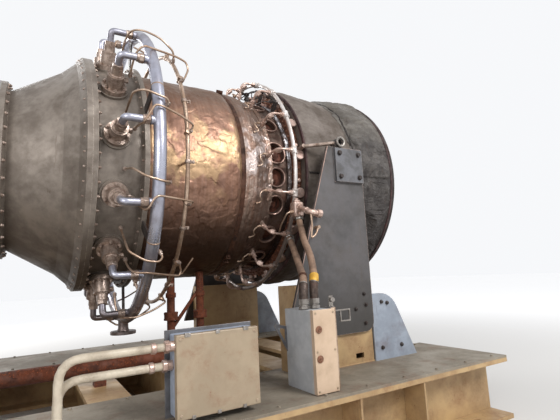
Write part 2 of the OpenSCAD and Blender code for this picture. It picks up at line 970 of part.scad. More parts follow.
module support_plate() {
    corner = 60;
    color("slategray")
        translate([0, -plate_in, 0])
            rotate([90, 0, 0])
                linear_extrude(plate_t)
                    polygon(concat(
                        [
                            [plate_right, plate_top_z], [plate_left, plate_top_z],
                            [plate_foot_left, plate_foot_z]
                        ],
                        arc(plate_right - corner, plate_foot_z + corner, corner, -90, 0, 5)
                    ));
}

module trunnion_pad() {
    color("gray")
        translate([x_trunnion - pad_side / 2, -plate_y - pad_t, axis_z - pad_side / 2 - 20])
            cube([pad_side, pad_t, pad_side]);
}

module lifting_eye() {
    color("gray")
        difference() {
            union() {
                translate([eye_x, -plate_y - 20, eye_z])
                    rotate([-90, 0, 0])
                        cylinder(h = eye_len, d = eye_d);
                translate([eye_x - eye_d / 2, -plate_y, plate_top_z])
                    cube([eye_d, plate_t, eye_d / 2]);
            }
            translate([eye_x, -plate_y - 30, eye_z])
                rotate([-90, 0, 0])
                    cylinder(h = eye_len + 20, d = eye_bore);
        }
}

module pedestal() {
    color("burlywood")
        difference() {
            translate([pedestal_x0, -plate_in, deck_z])
                cube([pedestal_l, pedestal_deep, pedestal_h]);
            translate([pedestal_x0 + pedestal_t, -plate_in + pedestal_t, deck_z - 1])
                cube([
                    pedestal_l - 2 * pedestal_t,
                    pedestal_deep - 2 * pedestal_t,
                    pedestal_h - pedestal_t + 1
                ]);
            translate([pedestal_x1 - 140, -plate_in - 1, deck_z + 30])
                cube([60, pedestal_t + 2, 30]);
        }
}

module gusset() {
    top_z = deck_z + 393;
    reach = 350;
    corner = 150;
    gusset_t = 12;
    color("lightsteelblue")
        translate([0, -plate_in, 0])
            rotate([90, 0, 0])
                linear_extrude(gusset_t)
                    polygon(concat(
                        [[pedestal_x1, deck_z], [pedestal_x1 + reach, deck_z]],
                        arc(pedestal_x1 + 70, top_z - corner, corner, 25, 90, 6),
                        [[pedestal_x1, top_z]]
                    ));
}

module tie_rod() {
    rod_d = 24;
    lug_r = rear_ring_r + 74;
    rod_a = 9.2;
    start = ring_pt(x_disc, lug_r, rod_a);
    finish = [eye_x, -plate_y - 6, eye_z];
    color("darkgray")
        difference() {
            union() {
                bar(start, finish, rod_d);
                around(rod_a)
                    spoke(x_disc, rear_ring_r - 20, lug_r + 10, 26);
            }
            barrel(x_ring - 1, x_blanket + 1, rear_ring_r);
            translate([eye_x, -plate_y - 40, eye_z])
                rotate([-90, 0, 0])
                    cylinder(h = 100, d = eye_d);
        }
}

// Junction boxes

module box_small() {
    color("wheat") {
        translate([small_x, -box_face_y + cover_t, deck_z])
            cube([small_w, small_deep - cover_t, small_h]);
        for (p = [[18, 100], [80, 100]])
            translate([small_x + p[0], -box_face_y + p[1], small_top - 1])
                cylinder(h = gland_h + 1, d = gland_d, $fn = 6);
    }
}

module box_small_cover() {
    color("wheat")
        translate([small_x, -box_face_y, deck_z + 6])
            cube([small_w, cover_t, small_h - 6]);
}

module box_large() {
    color("wheat")
        difference() {
            translate([large_x, -box_face_y, large_z])
                cube([large_w, large_deep, large_h]);
            for (z = [large_z + cover_t, large_top - cover_t - 4])
                translate([large_x - 1, -box_face_y + cover_t, z])
                    cube([large_w + 2, 3, 3]);
        }
}

// Feet, strut channels and the triangular side bracket that hold the boxes
module box_mounts() {
    color("tan") {
        translate([large_x + 30, -box_face_y + large_deep, deck_z])
            cube([channel_w, channel_t, large_top - deck_z]);
        translate([large_x + large_w - 30 - channel_w, -box_face_y + large_deep, deck_z])
            cube([channel_w, channel_t, large_top - deck_z]);
        translate([small_x + small_w, -box_face_y + 30, deck_z])
            cube([channel_t, channel_w, small_h + 6]);
        translate([0, -box_face_y + small_deep - 6, 0])
            rotate([90, 0, 0])
                linear_extrude(6)
                    difference() {
                        polygon([
                            [small_x, small_top - 85], [small_x - 62, small_top - 68],
                            [small_x - 70, small_top - 80], [small_x, small_top - 205]
                        ]);
                        polygon([
                            [small_x - 10, small_top - 98], [small_x - 50, small_top - 88],
                            [small_x - 10, small_top - 160]
                        ]);
                    }
    }
}

module conduits() {
    x_down = large_x - 390;
    r = conduit_d / 2;
    bend = 60;
    color("wheat")
        for (c = [[30, large_top - 38], [62, large_top - 112]]) {
            y = -box_face_y + c[0];
            z = c[1];
            tube([
                [large_x, y, z], [x_down + bend, y, z], [x_down + bend * 0.5, y, z - bend * 0.13],
                [x_down + bend * 0.13, y, z - bend * 0.5], [x_down, y, z - bend],
                [x_down, y, deck_z]
            ], conduit_d, 10);
            translate([large_x - 40, y, z])
                rotate([0, 90, 0])
                    cylinder(h = 28, r = r + 9, $fn = 6);
        }
}

// Fuel hoses from the small box to the turbine manifold
hose_tee_a = first_angle - 2 * nozzle_step;
hose_tee = ring_pt(x_fuel, fuel_ring_r, hose_tee_a);
hose_way = unit([-26, -78 * cos(hose_tee_a), 78 * sin(hose_tee_a)]);

// The valve block stands just outside the manifold, its arm in front of the support plate
valve_w = 66;
valve_deep = 56;
valve_half = 45;
valve_z = axis_z + fuel_ring_r * sin(-22.7);
valve_rise = axis_z - valve_z - valve_half;
valve_back = -sqrt(pow(fuel_ring_r + fuel_ring_d / 2, 2) - valve_rise * valve_rise) - seat_gap;
valve = [x_fuel - 7, valve_back - valve_deep / 2, valve_z];

module fuel_hoses() {
    low = [small_x, 100 - box_face_y, small_top + gland_h];
    valve_foot = valve + [11, 0, -valve_half - seat_gap];
    color("rosybrown") {
        tube([
            low + [18, 0, 0], low + [18, 0, 30], low + [25, 7, 62], low + [42, 28, 92],
            low + [70, 72, 120], low + [101, 135, 148], low + [136, 205, 187],
            low + [165, 270, 226], hose_tee + hose_way * 130, hose_tee + hose_way * 52
        ], hose_d, 10);
        tube([
            low + [80, 0, 0], low + [80, 0, 38], low + [83, 2, 68], low + [97, 14, 100],
            low + [114, 40, 132], low + [144, 90, 179], low + [172, 145, 228],
            low + [196, 222, 301], low + [213, 260, 332], valve_foot + [-20, -50, -82],
            valve_foot + [-8, -20, -50], valve_foot + [-1, -3, -22], valve_foot
        ], hose_d, 10);
    }
}

// Valve block beside the manifold, with its side arm, and the tee that takes the left hose
module hose_valve() {
    elbow = [valve[0] - 6.5, -plate_y - 32, valve_z - 32];
    arm_end = [valve[0] + 75, -plate_y - 36, valve_z - 44];
    arm = unit(arm_end - elbow);
    color("rosybrown") {
        translate(valve - [valve_w / 2, valve_deep / 2, valve_half])
            cube([valve_w, valve_deep, 2 * valve_half]);
        bar(valve + [-1, -20, 13], elbow, 30);
        translate(elbow - [20, 20, 20])
            cube([40, 40, 40]);
        bar(elbow, arm_end, 30);
        bar(arm_end - arm * 30, arm_end, 44);
        bar(hose_tee + hose_way * 52, hose_tee + hose_way * (tee_d / 2 + seat_gap), 46);
    }
}

// Drains under the engine
header_z = beam_h + 60 + header_d / 2;
drain_y = -200;

module drain_header() {
    color("dimgray") {
        translate([-640, drain_y, header_z])
            rotate([0, 90, 0])
                cylinder(h = 1420, d = header_d);
        for (x = [-640, 780 - 16])
            translate([x, drain_y, header_z])
                rotate([0, 90, 0])
                    cylinder(h = 16, d = header_d + 40);
        for (x = [60, 550])
            translate([x - 30, drain_y - header_d / 2, beam_h])
                cube([60, header_d, 60 + header_d / 4]);
    }
}

module drain_risers() {
    color("saddlebrown")
        difference() {
            union() {
                for (x = [-520, 460, 645]) {
                    translate([x, drain_y, header_z])
                        cylinder(h = axis_z - header_z - 300, d = riser_d);
                    translate([x, drain_y, header_z + 210])
                        cylinder(h = 44, d = riser_d + 34);
                }
                bar([460, drain_y, header_z + 150], [645, drain_y, header_z + 390], 22);
            }
            translate([-700, drain_y, header_z])
                rotate([0, 90, 0])
                    cylinder(h = 1600, d = header_d);
            barrel(x_comb, x_band + 5, comb_r);
            barrel(x_comp_rear + 200, x_comp_rear + 300 + 100, comp_r + 30);
        }
}

both_sides() skid_rail();  // skid_rails
skid_cross_beams();
both_sides() deck_plate();  // deck_plates
front_support();
bellmouth();
inlet_case();
inlet_hub();
guide_vanes();
compressor_case_front();
compressor_case_rear();
vane_ring();
diffuser_case();
burner_case();
injectors();
main_manifold();
manifold_brackets();
injector_feeds();
pilot_ring();
pilot_tubes();
combustor_case();
clamp_band();
turbine_case();
port_case();
port_plugs();
fuel_manifold();
fuel_nozzles();
pigtails();
rear_flange_ring();
boss_discs();
top_bosses();
exhaust_duct();
exhaust_blanket_front();
exhaust_blanket_rear();
exhaust_cone();
exhaust_struts();
both_sides() trunnion();  // trunnions
both_sides() support_plate();  // support_plates
both_sides() trunnion_pad();  // trunnion_pads
both_sides() lifting_eye();  // lifting_eyes
both_sides() pedestal();  // pedestals
both_sides() gusset();  // gussets
both_sides() tie_rod();  // tie_rods
box_small();
box_small_cover();
box_large();
box_mounts();
conduits();
fuel_hoses();
hose_valve();
drain_header();
drain_risers();
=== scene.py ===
"""The looks of an industrial gas turbine engine on its skid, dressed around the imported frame.

Lengths are in metres and lie in the frame's own axes. +X runs along the engine from the air inlet
to the exhaust, +Z is up, and the near side, with the junction boxes, is at -Y. Angles are in
degrees, measured round the engine axis upwards from the near side. A shape that repeats round the
engine is modelled once, on the near side of an axis at the origin, and then turned to its places.
"""

from __future__ import annotations

import logging
import math
import sys
from dataclasses import dataclass, field
from enum import Enum
from typing import Callable, Iterable, Mapping, Sequence

import bpy
from mathutils import Matrix, Vector


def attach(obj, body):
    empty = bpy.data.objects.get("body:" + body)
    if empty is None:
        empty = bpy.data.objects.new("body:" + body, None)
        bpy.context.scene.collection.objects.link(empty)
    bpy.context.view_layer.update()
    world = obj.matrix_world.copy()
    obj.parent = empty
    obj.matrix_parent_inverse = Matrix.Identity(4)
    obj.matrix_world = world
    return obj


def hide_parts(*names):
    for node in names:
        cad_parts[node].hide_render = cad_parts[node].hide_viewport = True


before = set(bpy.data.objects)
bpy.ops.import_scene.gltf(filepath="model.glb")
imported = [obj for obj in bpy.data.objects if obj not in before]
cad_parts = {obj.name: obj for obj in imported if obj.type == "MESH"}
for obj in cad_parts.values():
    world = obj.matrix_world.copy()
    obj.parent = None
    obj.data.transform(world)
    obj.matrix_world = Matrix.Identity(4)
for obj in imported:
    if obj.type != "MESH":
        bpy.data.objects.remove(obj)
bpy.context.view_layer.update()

LOG = logging.getLogger("gas_turbine")
ROOT = "root"
AXIS_Z = 1.55
MERGE = 1e-5
BEND_SHARE = 0.48
Piece = bpy.types.Object
Socket = bpy.types.NodeSocket
Input = Socket | float | tuple | Vector
Colour = tuple[int, int, int]
Point = tuple[float, float, float]
Outline = Sequence[tuple[float, float]]


class Side(Enum):
    """The two sides of the engine that mirror each other."""

    NEAR = 1
    FAR = -1


def linear(colour: Colour) -> tuple[float, float, float, float]:
    """Turn a colour as it is seen, 0 to 255, into the linear values that a shader takes."""
    parts = [c / 255 for c in colour]
    return (*[p / 12.92 if p < 0.04045 else ((p + 0.055) / 1.055) ** 2.4 for p in parts], 1.0)


def mirrored(half: Outline) -> list[tuple[float, float]]:
    """An outline whose second half mirrors its first about station 0."""
    return [*half, *((-x, r) for x, r in reversed(half))]


def smoothstep(value: float, low: float, high: float) -> float:
    """Ease from 0 at low to 1 at high."""
    t = min(max((value - low) / (high - low), 0.0), 1.0)
    return t * t * (3 - 2 * t)


def fine(outline: Outline, step: float) -> list[tuple[float, float]]:
    """Add points to an outline until none lie further apart than a step."""
    points = [outline[0]]
    for (x0, r0), (x1, r1) in zip(outline, outline[1:]):
        count = max(1, math.ceil(math.hypot(x1 - x0, r1 - r0) / step))
        points += [(x0 + (x1 - x0) * i / count, r0 + (r1 - r0) * i / count)
                   for i in range(1, count + 1)]
    return points


def put(target: object, **settings: object) -> None:
    """Set what Blender keeps as attributes."""
    for key, value in settings.items():
        setattr(target, key, value)


# Places

ORIGIN = Matrix.Identity(4)


def turned(degrees: float, axis: str) -> Matrix:
    """A turn about an axis."""
    return Matrix.Rotation(math.radians(degrees), 4, axis)


def moved(x: float, y: float, z: float) -> Matrix:
    """A move without a turn."""
    return Matrix.Translation((x, y, z))


def evenly(count: int, first: float = 0.0) -> list[float]:
    """Angles spread evenly round the engine."""
    return [first + 360 * index / count for index in range(count)]


def on_engine(x: float, radius: float, angle: float) -> Vector:
    """A point round the engine, from its station, radius and angle above the near side."""
    turn = math.radians(angle)
    return Vector((x, -radius * math.cos(turn), AXIS_Z + radius * math.sin(turn)))


def around(angle: float) -> Matrix:
    """The move that takes a shape from the near side of an axis at the origin to an angle."""
    return moved(0, 0, AXIS_Z) @ turned(-angle, "X")


def outward(x: float, radius: float, angle: float) -> Matrix:
    """A frame on the engine whose X axis points away from the engine axis."""
    return around(angle) @ moved(x, -radius, 0) @ turned(-90, "Z")


def endways(x: float, radius: float, angle: float, rearward: bool = True) -> Matrix:
    """A frame on the engine whose X axis points to the exhaust, or to the inlet."""
    return around(angle) @ moved(x, -radius, 0) @ turned(0 if rearward else 180, "Z")


def sideways(x: float, y: float, z: float, side: Side = Side.NEAR) -> Matrix:
    """A frame at a distance from the middle plane whose X axis points out on that side."""
    return moved(x, -side.value * y, z) @ turned(-90 * side.value, "Z")


# Modelling


class Bench:
    """Modelling moves on Blender's own operators. Each one leaves object mode behind it."""

    @staticmethod
    def take(*pieces: Piece) -> None:
        """Select these pieces alone, or nothing, and make the first one active."""
        if bpy.context.object is not None and bpy.context.object.mode != "OBJECT":
            bpy.ops.object.mode_set(mode="OBJECT")
        bpy.ops.object.select_all(action="DESELECT")
        for piece in reversed(pieces):
            piece.select_set(True)
            bpy.context.view_layer.objects.active = piece

    @staticmethod
    def settle(piece: Piece | None = None) -> Piece:
        """Move a piece's place into its mesh, so that its object sits at the origin.

        Args:
            piece: The piece, or else the one that an operator just made.

        Returns:
            The same piece.
        """
        piece = piece or bpy.context.object
        Bench.take(piece)
        bpy.ops.object.transform_apply(location=True, rotation=True, scale=True)
        return piece

    @staticmethod
    def apply(piece: Piece, kind: str, **settings: object) -> Piece:
        """Add a modifier, set it and apply it.

        Args:
            piece: The piece to finish.
            kind: Blender's name of the modifier.
            settings: The modifier's own settings.

        Returns:
            The same piece.
        """
        Bench.take(piece)
        modifier = piece.modifiers.new(kind.lower(), kind)
        put(modifier, **settings)
        bpy.ops.object.modifier_apply(modifier=modifier.name)
        return piece

    @staticmethod
    def smooth(piece: Piece, degrees: float = 35) -> Piece:
        """Shade smooth, apart from edges sharper than an angle."""
        Bench.take(piece)
        bpy.ops.object.shade_smooth_by_angle(angle=math.radians(degrees))
        return piece

    @staticmethod
    def join(parts: Sequence[Piece]) -> Piece:
        """Join parts, which are used up, into one piece."""
        Bench.take(*parts)
        bpy.ops.object.join()
        return Bench.settle()

    @staticmethod
    def block(low: Point, high: Point, bevel: float = 0.002) -> Piece:
        """A box between two corners, with its edges rounded."""
        Bench.take()
        bpy.ops.mesh.primitive_cube_add(size=1, location=(Vector(low) + Vector(high)) / 2)
        bpy.context.object.scale = Vector(high) - Vector(low)
        return Bench.apply(Bench.settle(), "BEVEL", width=bevel, segments=2,
                           limit_method="ANGLE")

    @staticmethod
    def drum(start: Sequence[float], end: Sequence[float], radius: float, sides: int = 24,
             bevel: float = 0.001) -> Piece:
        """A round or many-sided bar between two points, with its end edges rounded."""
        low, high = Vector(start), Vector(end)
        way = high - low
        Bench.take()
        bpy.ops.mesh.primitive_cylinder_add(
            vertices=sides, radius=radius, depth=way.length, location=(low + high) / 2,
            rotation=way.to_track_quat("Z", "Y").to_euler())
        return Bench.apply(Bench.settle(), "BEVEL", width=bevel, segments=1, limit_method="ANGLE",
                           angle_limit=math.radians(60 if sides > 8 else 50))

    @staticmethod
    def spoke(x: float, low: float, high: float, radius: float, sides: int = 24,
              bevel: float = 0.001) -> Piece:
        """A bar at a station that stands across the engine axis, between two radii."""
        return Bench.drum((x, -low, 0), (x, -high, 0), radius, sides, bevel)

    @staticmethod
    def axle(low: float, high: float, away: float, radius: float, sides: int = 24,
             bevel: float = 0.001) -> Piece:
        """A bar along the engine between two stations, at a radius from its axis."""
        return Bench.drum((low, -away, 0), (high, -away, 0), radius, sides, bevel)

    @staticmethod
    def lathe(profile: Outline, steps: int, place: Matrix | None = None,
              closed: bool = True) -> Piece:
        """Spin an outline round an axis.

        Args:
            profile: The outline's stations along the axis and radii.
            steps: How many faces go round.
            place: Where the axis lies, as a frame's X axis. The engine axis if left out.
            closed: Whether the outline is joined back to its first point.

        Returns:
            The spun piece.
        """
        points = [Vector((x, -r, 0)) for x, r in profile]
        Bench.take()
        bpy.ops.mesh.primitive_plane_add(size=0.001, location=points[0])
        piece = Bench.settle()
        bpy.ops.object.mode_set(mode="EDIT")
        bpy.ops.mesh.select_all(action="SELECT")
        bpy.ops.mesh.merge(type="CENTER")
        if closed:
            points.append(points[0])
        for before, point in zip(points, points[1:]):
            bpy.ops.mesh.extrude_region_move(TRANSFORM_OT_translate={"value": point - before})
        bpy.ops.mesh.select_all(action="SELECT")
        bpy.ops.mesh.remove_doubles(threshold=MERGE)
        bpy.ops.mesh.select_all(action="SELECT")
        bpy.ops.mesh.spin(steps=steps, angle=-2 * math.pi, center=(0, 0, 0), axis=(1, 0, 0))
        bpy.ops.mesh.select_all(action="SELECT")
        bpy.ops.mesh.remove_doubles(threshold=MERGE)
        bpy.ops.mesh.normals_make_consistent(inside=False)
        bpy.ops.object.mode_set(mode="OBJECT")
        piece.matrix_world = around(0) if place is None else place
        return Bench.smooth(Bench.settle(piece))

    @staticmethod
    def sleeve(profile: Outline, x: float, radius: float, steps: int) -> Piece:
        """Spin an outline round the tube of a ring that runs round the engine."""
        return Bench.lathe(profile, steps, moved(x, -radius, 0) @ turned(90, "Y"))

    @staticmethod
    def hoop(x: float, radius: float, thick: float, steps: int, sides: int) -> Piece:
        """A ring of round tube about the engine axis."""
        Bench.take()
        bpy.ops.mesh.primitive_torus_add(
            major_radius=radius, minor_radius=thick / 2, major_segments=steps,
            minor_segments=sides, location=(x, 0, AXIS_Z), rotation=(0, math.pi / 2, 0))
        return Bench.smooth(Bench.settle(), 60)

    @staticmethod
    def rounded(points: Sequence[Vector], bend: float, steps: int = 5) -> list[Vector]:
        """A route whose corners are turned in smooth bends.

        Args:
            points: The corners of the route, with its ends.
            bend: How far before and after a corner its bend starts and ends, at most.
            steps: How many pieces a bend has.

        Returns:
            The points of the smooth route.
        """
        route = [points[0]]
        for before, corner, after in zip(points, points[1:], points[2:]):
            shorter = min((corner - before).length, (after - corner).length)
            reach = min(bend, shorter * BEND_SHARE)
            start = corner + (before - corner).normalized() * reach
            end = corner + (after - corner).normalized() * reach
            for step in range(steps + 1):
                t = step / steps
                route.append((1 - t) ** 2 * start + 2 * t * (1 - t) * corner + t * t * end)
        return [*route, points[-1]]

    @staticmethod
    def tube(points: Iterable[Sequence[float]], diameter: float, bend: float = 0.03,
             sides: int = 10) -> Piece:
        """A bent tube along a route, as a closed mesh."""
        route = Bench.rounded([Vector(point) for point in points], bend)
        Bench.take()
        bpy.ops.curve.primitive_bezier_curve_add()
        curve = bpy.context.object.data
        curve.splines.clear()
        spline = curve.splines.new("POLY")
        spline.points.add(len(route) - 1)
        for point, place in zip(spline.points, route):
            point.co = (*place, 1)
        curve.dimensions = "3D"
        curve.twist_mode = "MINIMUM"
        curve.bevel_depth = diameter / 2
        curve.bevel_resolution = max(sides // 2 - 2, 1)
        curve.use_fill_caps = True
        Bench.take(bpy.context.object)
        bpy.ops.object.convert(target="MESH")
        return Bench.smooth(bpy.context.object, 50)

    @staticmethod
    def stamp(master: Piece, places: Iterable[Matrix]) -> Piece:
        """Copy a master, which is used up, to many places and join the copies."""
        copies = []
        for place in places:
            copy = master.copy()
            copy.data = master.data.copy()
            copy.matrix_world = place
            bpy.context.scene.collection.objects.link(copy)
            copies.append(copy)
        bpy.data.objects.remove(master)
        return Bench.join(copies)

    @staticmethod
    def bolt(size: float, stand: float = 0.0) -> Piece:
        """A hexagon head on its washer, standing on the origin and pointing along +X.

        Args:
            size: Width of the head across its corners.
            stand: How far the bolt's end shows past the head, as on a stud with its nut.

        Returns:
            The master.
        """
        lift, top = size * 0.09, size * 0.51
        parts = [Bench.drum((lift, 0, 0), (top, 0, 0), size / 2, 6, size * 0.05),
                 Bench.drum((-0.001, 0, 0), (lift + 0.0002, 0, 0), size * 0.6, 16, size * 0.02)]
        if stand:
            parts.append(Bench.drum((lift, 0, 0), (top + stand, 0, 0), size * 0.27, 10,
                                    size * 0.04))
        return Bench.smooth(Bench.join(parts), 30)

    @staticmethod
    def weigh(piece: Piece, name: str, weight: Callable[[Vector], float]) -> str:
        """Give a piece a named vertex group whose weights, 0 to 1, come from each place."""
        group = piece.vertex_groups.new(name=name)
        for vertex in piece.data.vertices:
            group.add([vertex.index], weight(vertex.co), "REPLACE")
        return name

    @staticmethod
    def dent(piece: Piece, texture: bpy.types.Texture, strength: float, group: str = "",
             middle: float = 0.5, way: str = "NORMAL") -> Piece:
        """Push a surface in and out by a texture, along its normals or an axis."""
        return Bench.apply(piece, "DISPLACE", texture=texture, strength=strength,
                           texture_coords="LOCAL", direction=way, mid_level=middle,
                           vertex_group=group)


class Reliefs:
    """The procedural textures that dent a surface."""

    @staticmethod
    def new(kind: str, size: float, **settings: object) -> bpy.types.Texture:
        """A texture of a kind and size, with its own settings."""
        texture = bpy.data.textures.new(kind.lower(), kind)
        put(texture, noise_scale=size, **settings)
        return texture

    @staticmethod
    def clouds(size: float, depth: int = 1) -> bpy.types.Texture:
        """Soft rolling dents."""
        return Reliefs.new("CLOUDS", size, noise_depth=depth, noise_basis="ORIGINAL_PERLIN")

    @staticmethod
    def creases(size: float) -> bpy.types.Texture:
        """Flat facets with sharp ridges between them, as in crumpled foil."""
        return Reliefs.new("VORONOI", size, weight_1=-1.0, weight_2=1.0, noise_intensity=1.3)

    @staticmethod
    def ridges(size: float) -> bpy.types.Texture:
        """Long branching ridges, as wrinkled cloth has."""
        return Reliefs.new("MUSGRAVE", size, musgrave_type="RIDGED_MULTIFRACTAL", octaves=3,
                           gain=1.6, noise_intensity=0.8)


# Finishes


class Wiring:
    """Lays nodes out in a shader or group tree and wires them."""

    def __init__(self, tree: bpy.types.NodeTree) -> None:
        """Start on an empty tree."""
        self.tree = tree
        self.tree.nodes.clear()
        self.laid = 0

    def add(self, kind: str, inputs: dict[str | int, Input] | None = None,
            **settings: object) -> bpy.types.Node:
        """Add a node.

        Args:
            kind: The node's type.
            inputs: What goes into its sockets, a value or another node's output.
            settings: The node's own settings.

        Returns:
            The node.
        """
        node = self.tree.nodes.new(kind)
        node.location = (230 * (self.laid % 10), -300 * (self.laid // 10))
        self.laid += 1
        put(node, **settings)
        for key, value in (inputs or {}).items():
            if isinstance(value, Socket):
                self.tree.links.new(value, node.inputs[key])
            else:
                node.inputs[key].default_value = value
        return node

    def coords(self) -> Socket:
        """The object's own coordinates, in metres."""
        return self.add("ShaderNodeTexCoord").outputs["Object"]

    def height(self) -> Socket:
        """The height of a point."""
        return self.add("ShaderNodeSeparateXYZ", {0: self.coords()}).outputs["Z"]

    def stretched(self, vector: Socket, scale: Point) -> Socket:
        """Coordinates stretched along the axes."""
        return self.add("ShaderNodeMapping", {"Vector": vector, "Scale": scale}).outputs[0]

    def maths(self, operation: str, first: Input, second: Input = 0.0,
              clamp: bool = False) -> Socket:
        """A sum on two values."""
        return self.add("ShaderNodeMath", {0: first, 1: second}, operation=operation,
                        use_clamp=clamp).outputs[0]

    def plus(self, first: Input, second: Input, clamp: bool = False) -> Socket:
        """The sum of two values."""
        return self.maths("ADD", first, second, clamp)

    def minus(self, first: Input, second: Input) -> Socket:
        """The difference of two values."""
        return self.maths("SUBTRACT", first, second)

    def times(self, first: Input, second: Input) -> Socket:
        """The product of two values."""
        return self.maths("MULTIPLY", first, second)

    def per(self, size: Socket) -> Socket:
        """How often a size fits in a metre."""
        return self.maths("DIVIDE", 1.0, size)

    def mix(self, factor: Input, first: Input, second: Input) -> Socket:
        """Blend two colours."""
        return self.add("ShaderNodeMix", {0: factor, 6: first, 7: second}, data_type="RGBA",
                        blend_type="MIX").outputs[2]

    def between(self, value: Input, low: Input, high: Input, out_low: Input = 0.0,
                out_high: Input = 1.0) -> Socket:
        """Map a value from one range to another, eased and held at the ends."""
        return self.add("ShaderNodeMapRange", {0: value, 1: low, 2: high, 3: out_low, 4: out_high},
                        interpolation_type="SMOOTHSTEP").outputs[0]

    def noise(self, vector: Socket, scale: Input, detail: float = 4, rough: float = 0.55,
              distortion: float = 0.0, output: str = "Fac") -> Socket:
        """A cloud pattern."""
        return self.add("ShaderNodeTexNoise", {
            "Vector": vector, "Scale": scale, "Detail": detail, "Roughness": rough,
            "Distortion": distortion}).outputs[output]

    def cells(self, vector: Socket, scale: Input, feature: str = "F1") -> Socket:
        """The distance pattern of scattered cells."""
        return self.add("ShaderNodeTexVoronoi", {"Vector": vector, "Scale": scale},
                        feature=feature).outputs["Distance"]

    def over(self, colour: Input, mask: Input, tint: Colour, share: float = 1.0) -> Socket:
        """Lay a tint over a colour where a mask is, at a share of its strength."""
        return self.mix(self.times(mask, share), colour, linear(tint))

    def surface(self, inputs: dict[str | int, Input]) -> None:
        """End a material with a shader that takes these inputs."""
        shader = self.add("ShaderNodeBsdfPrincipled", inputs)
        self.add("ShaderNodeOutputMaterial", {"Surface": shader.outputs["BSDF"]})


class Effect(Enum):
    """The effects that several finishes share, each a node group built once."""

    PATCHES = "patches"
    GRIME = "grime"
    EDGE_WEAR = "edge_wear"
    SPECKLE = "speckle"
    DRIPS = "drips"
    FOIL = "foil"
    WRINKLES = "wrinkles"
    WEAVE = "weave"
    LOW_DOWN = "low_down"
    BAND = "band"
    STREAKS = "streaks"


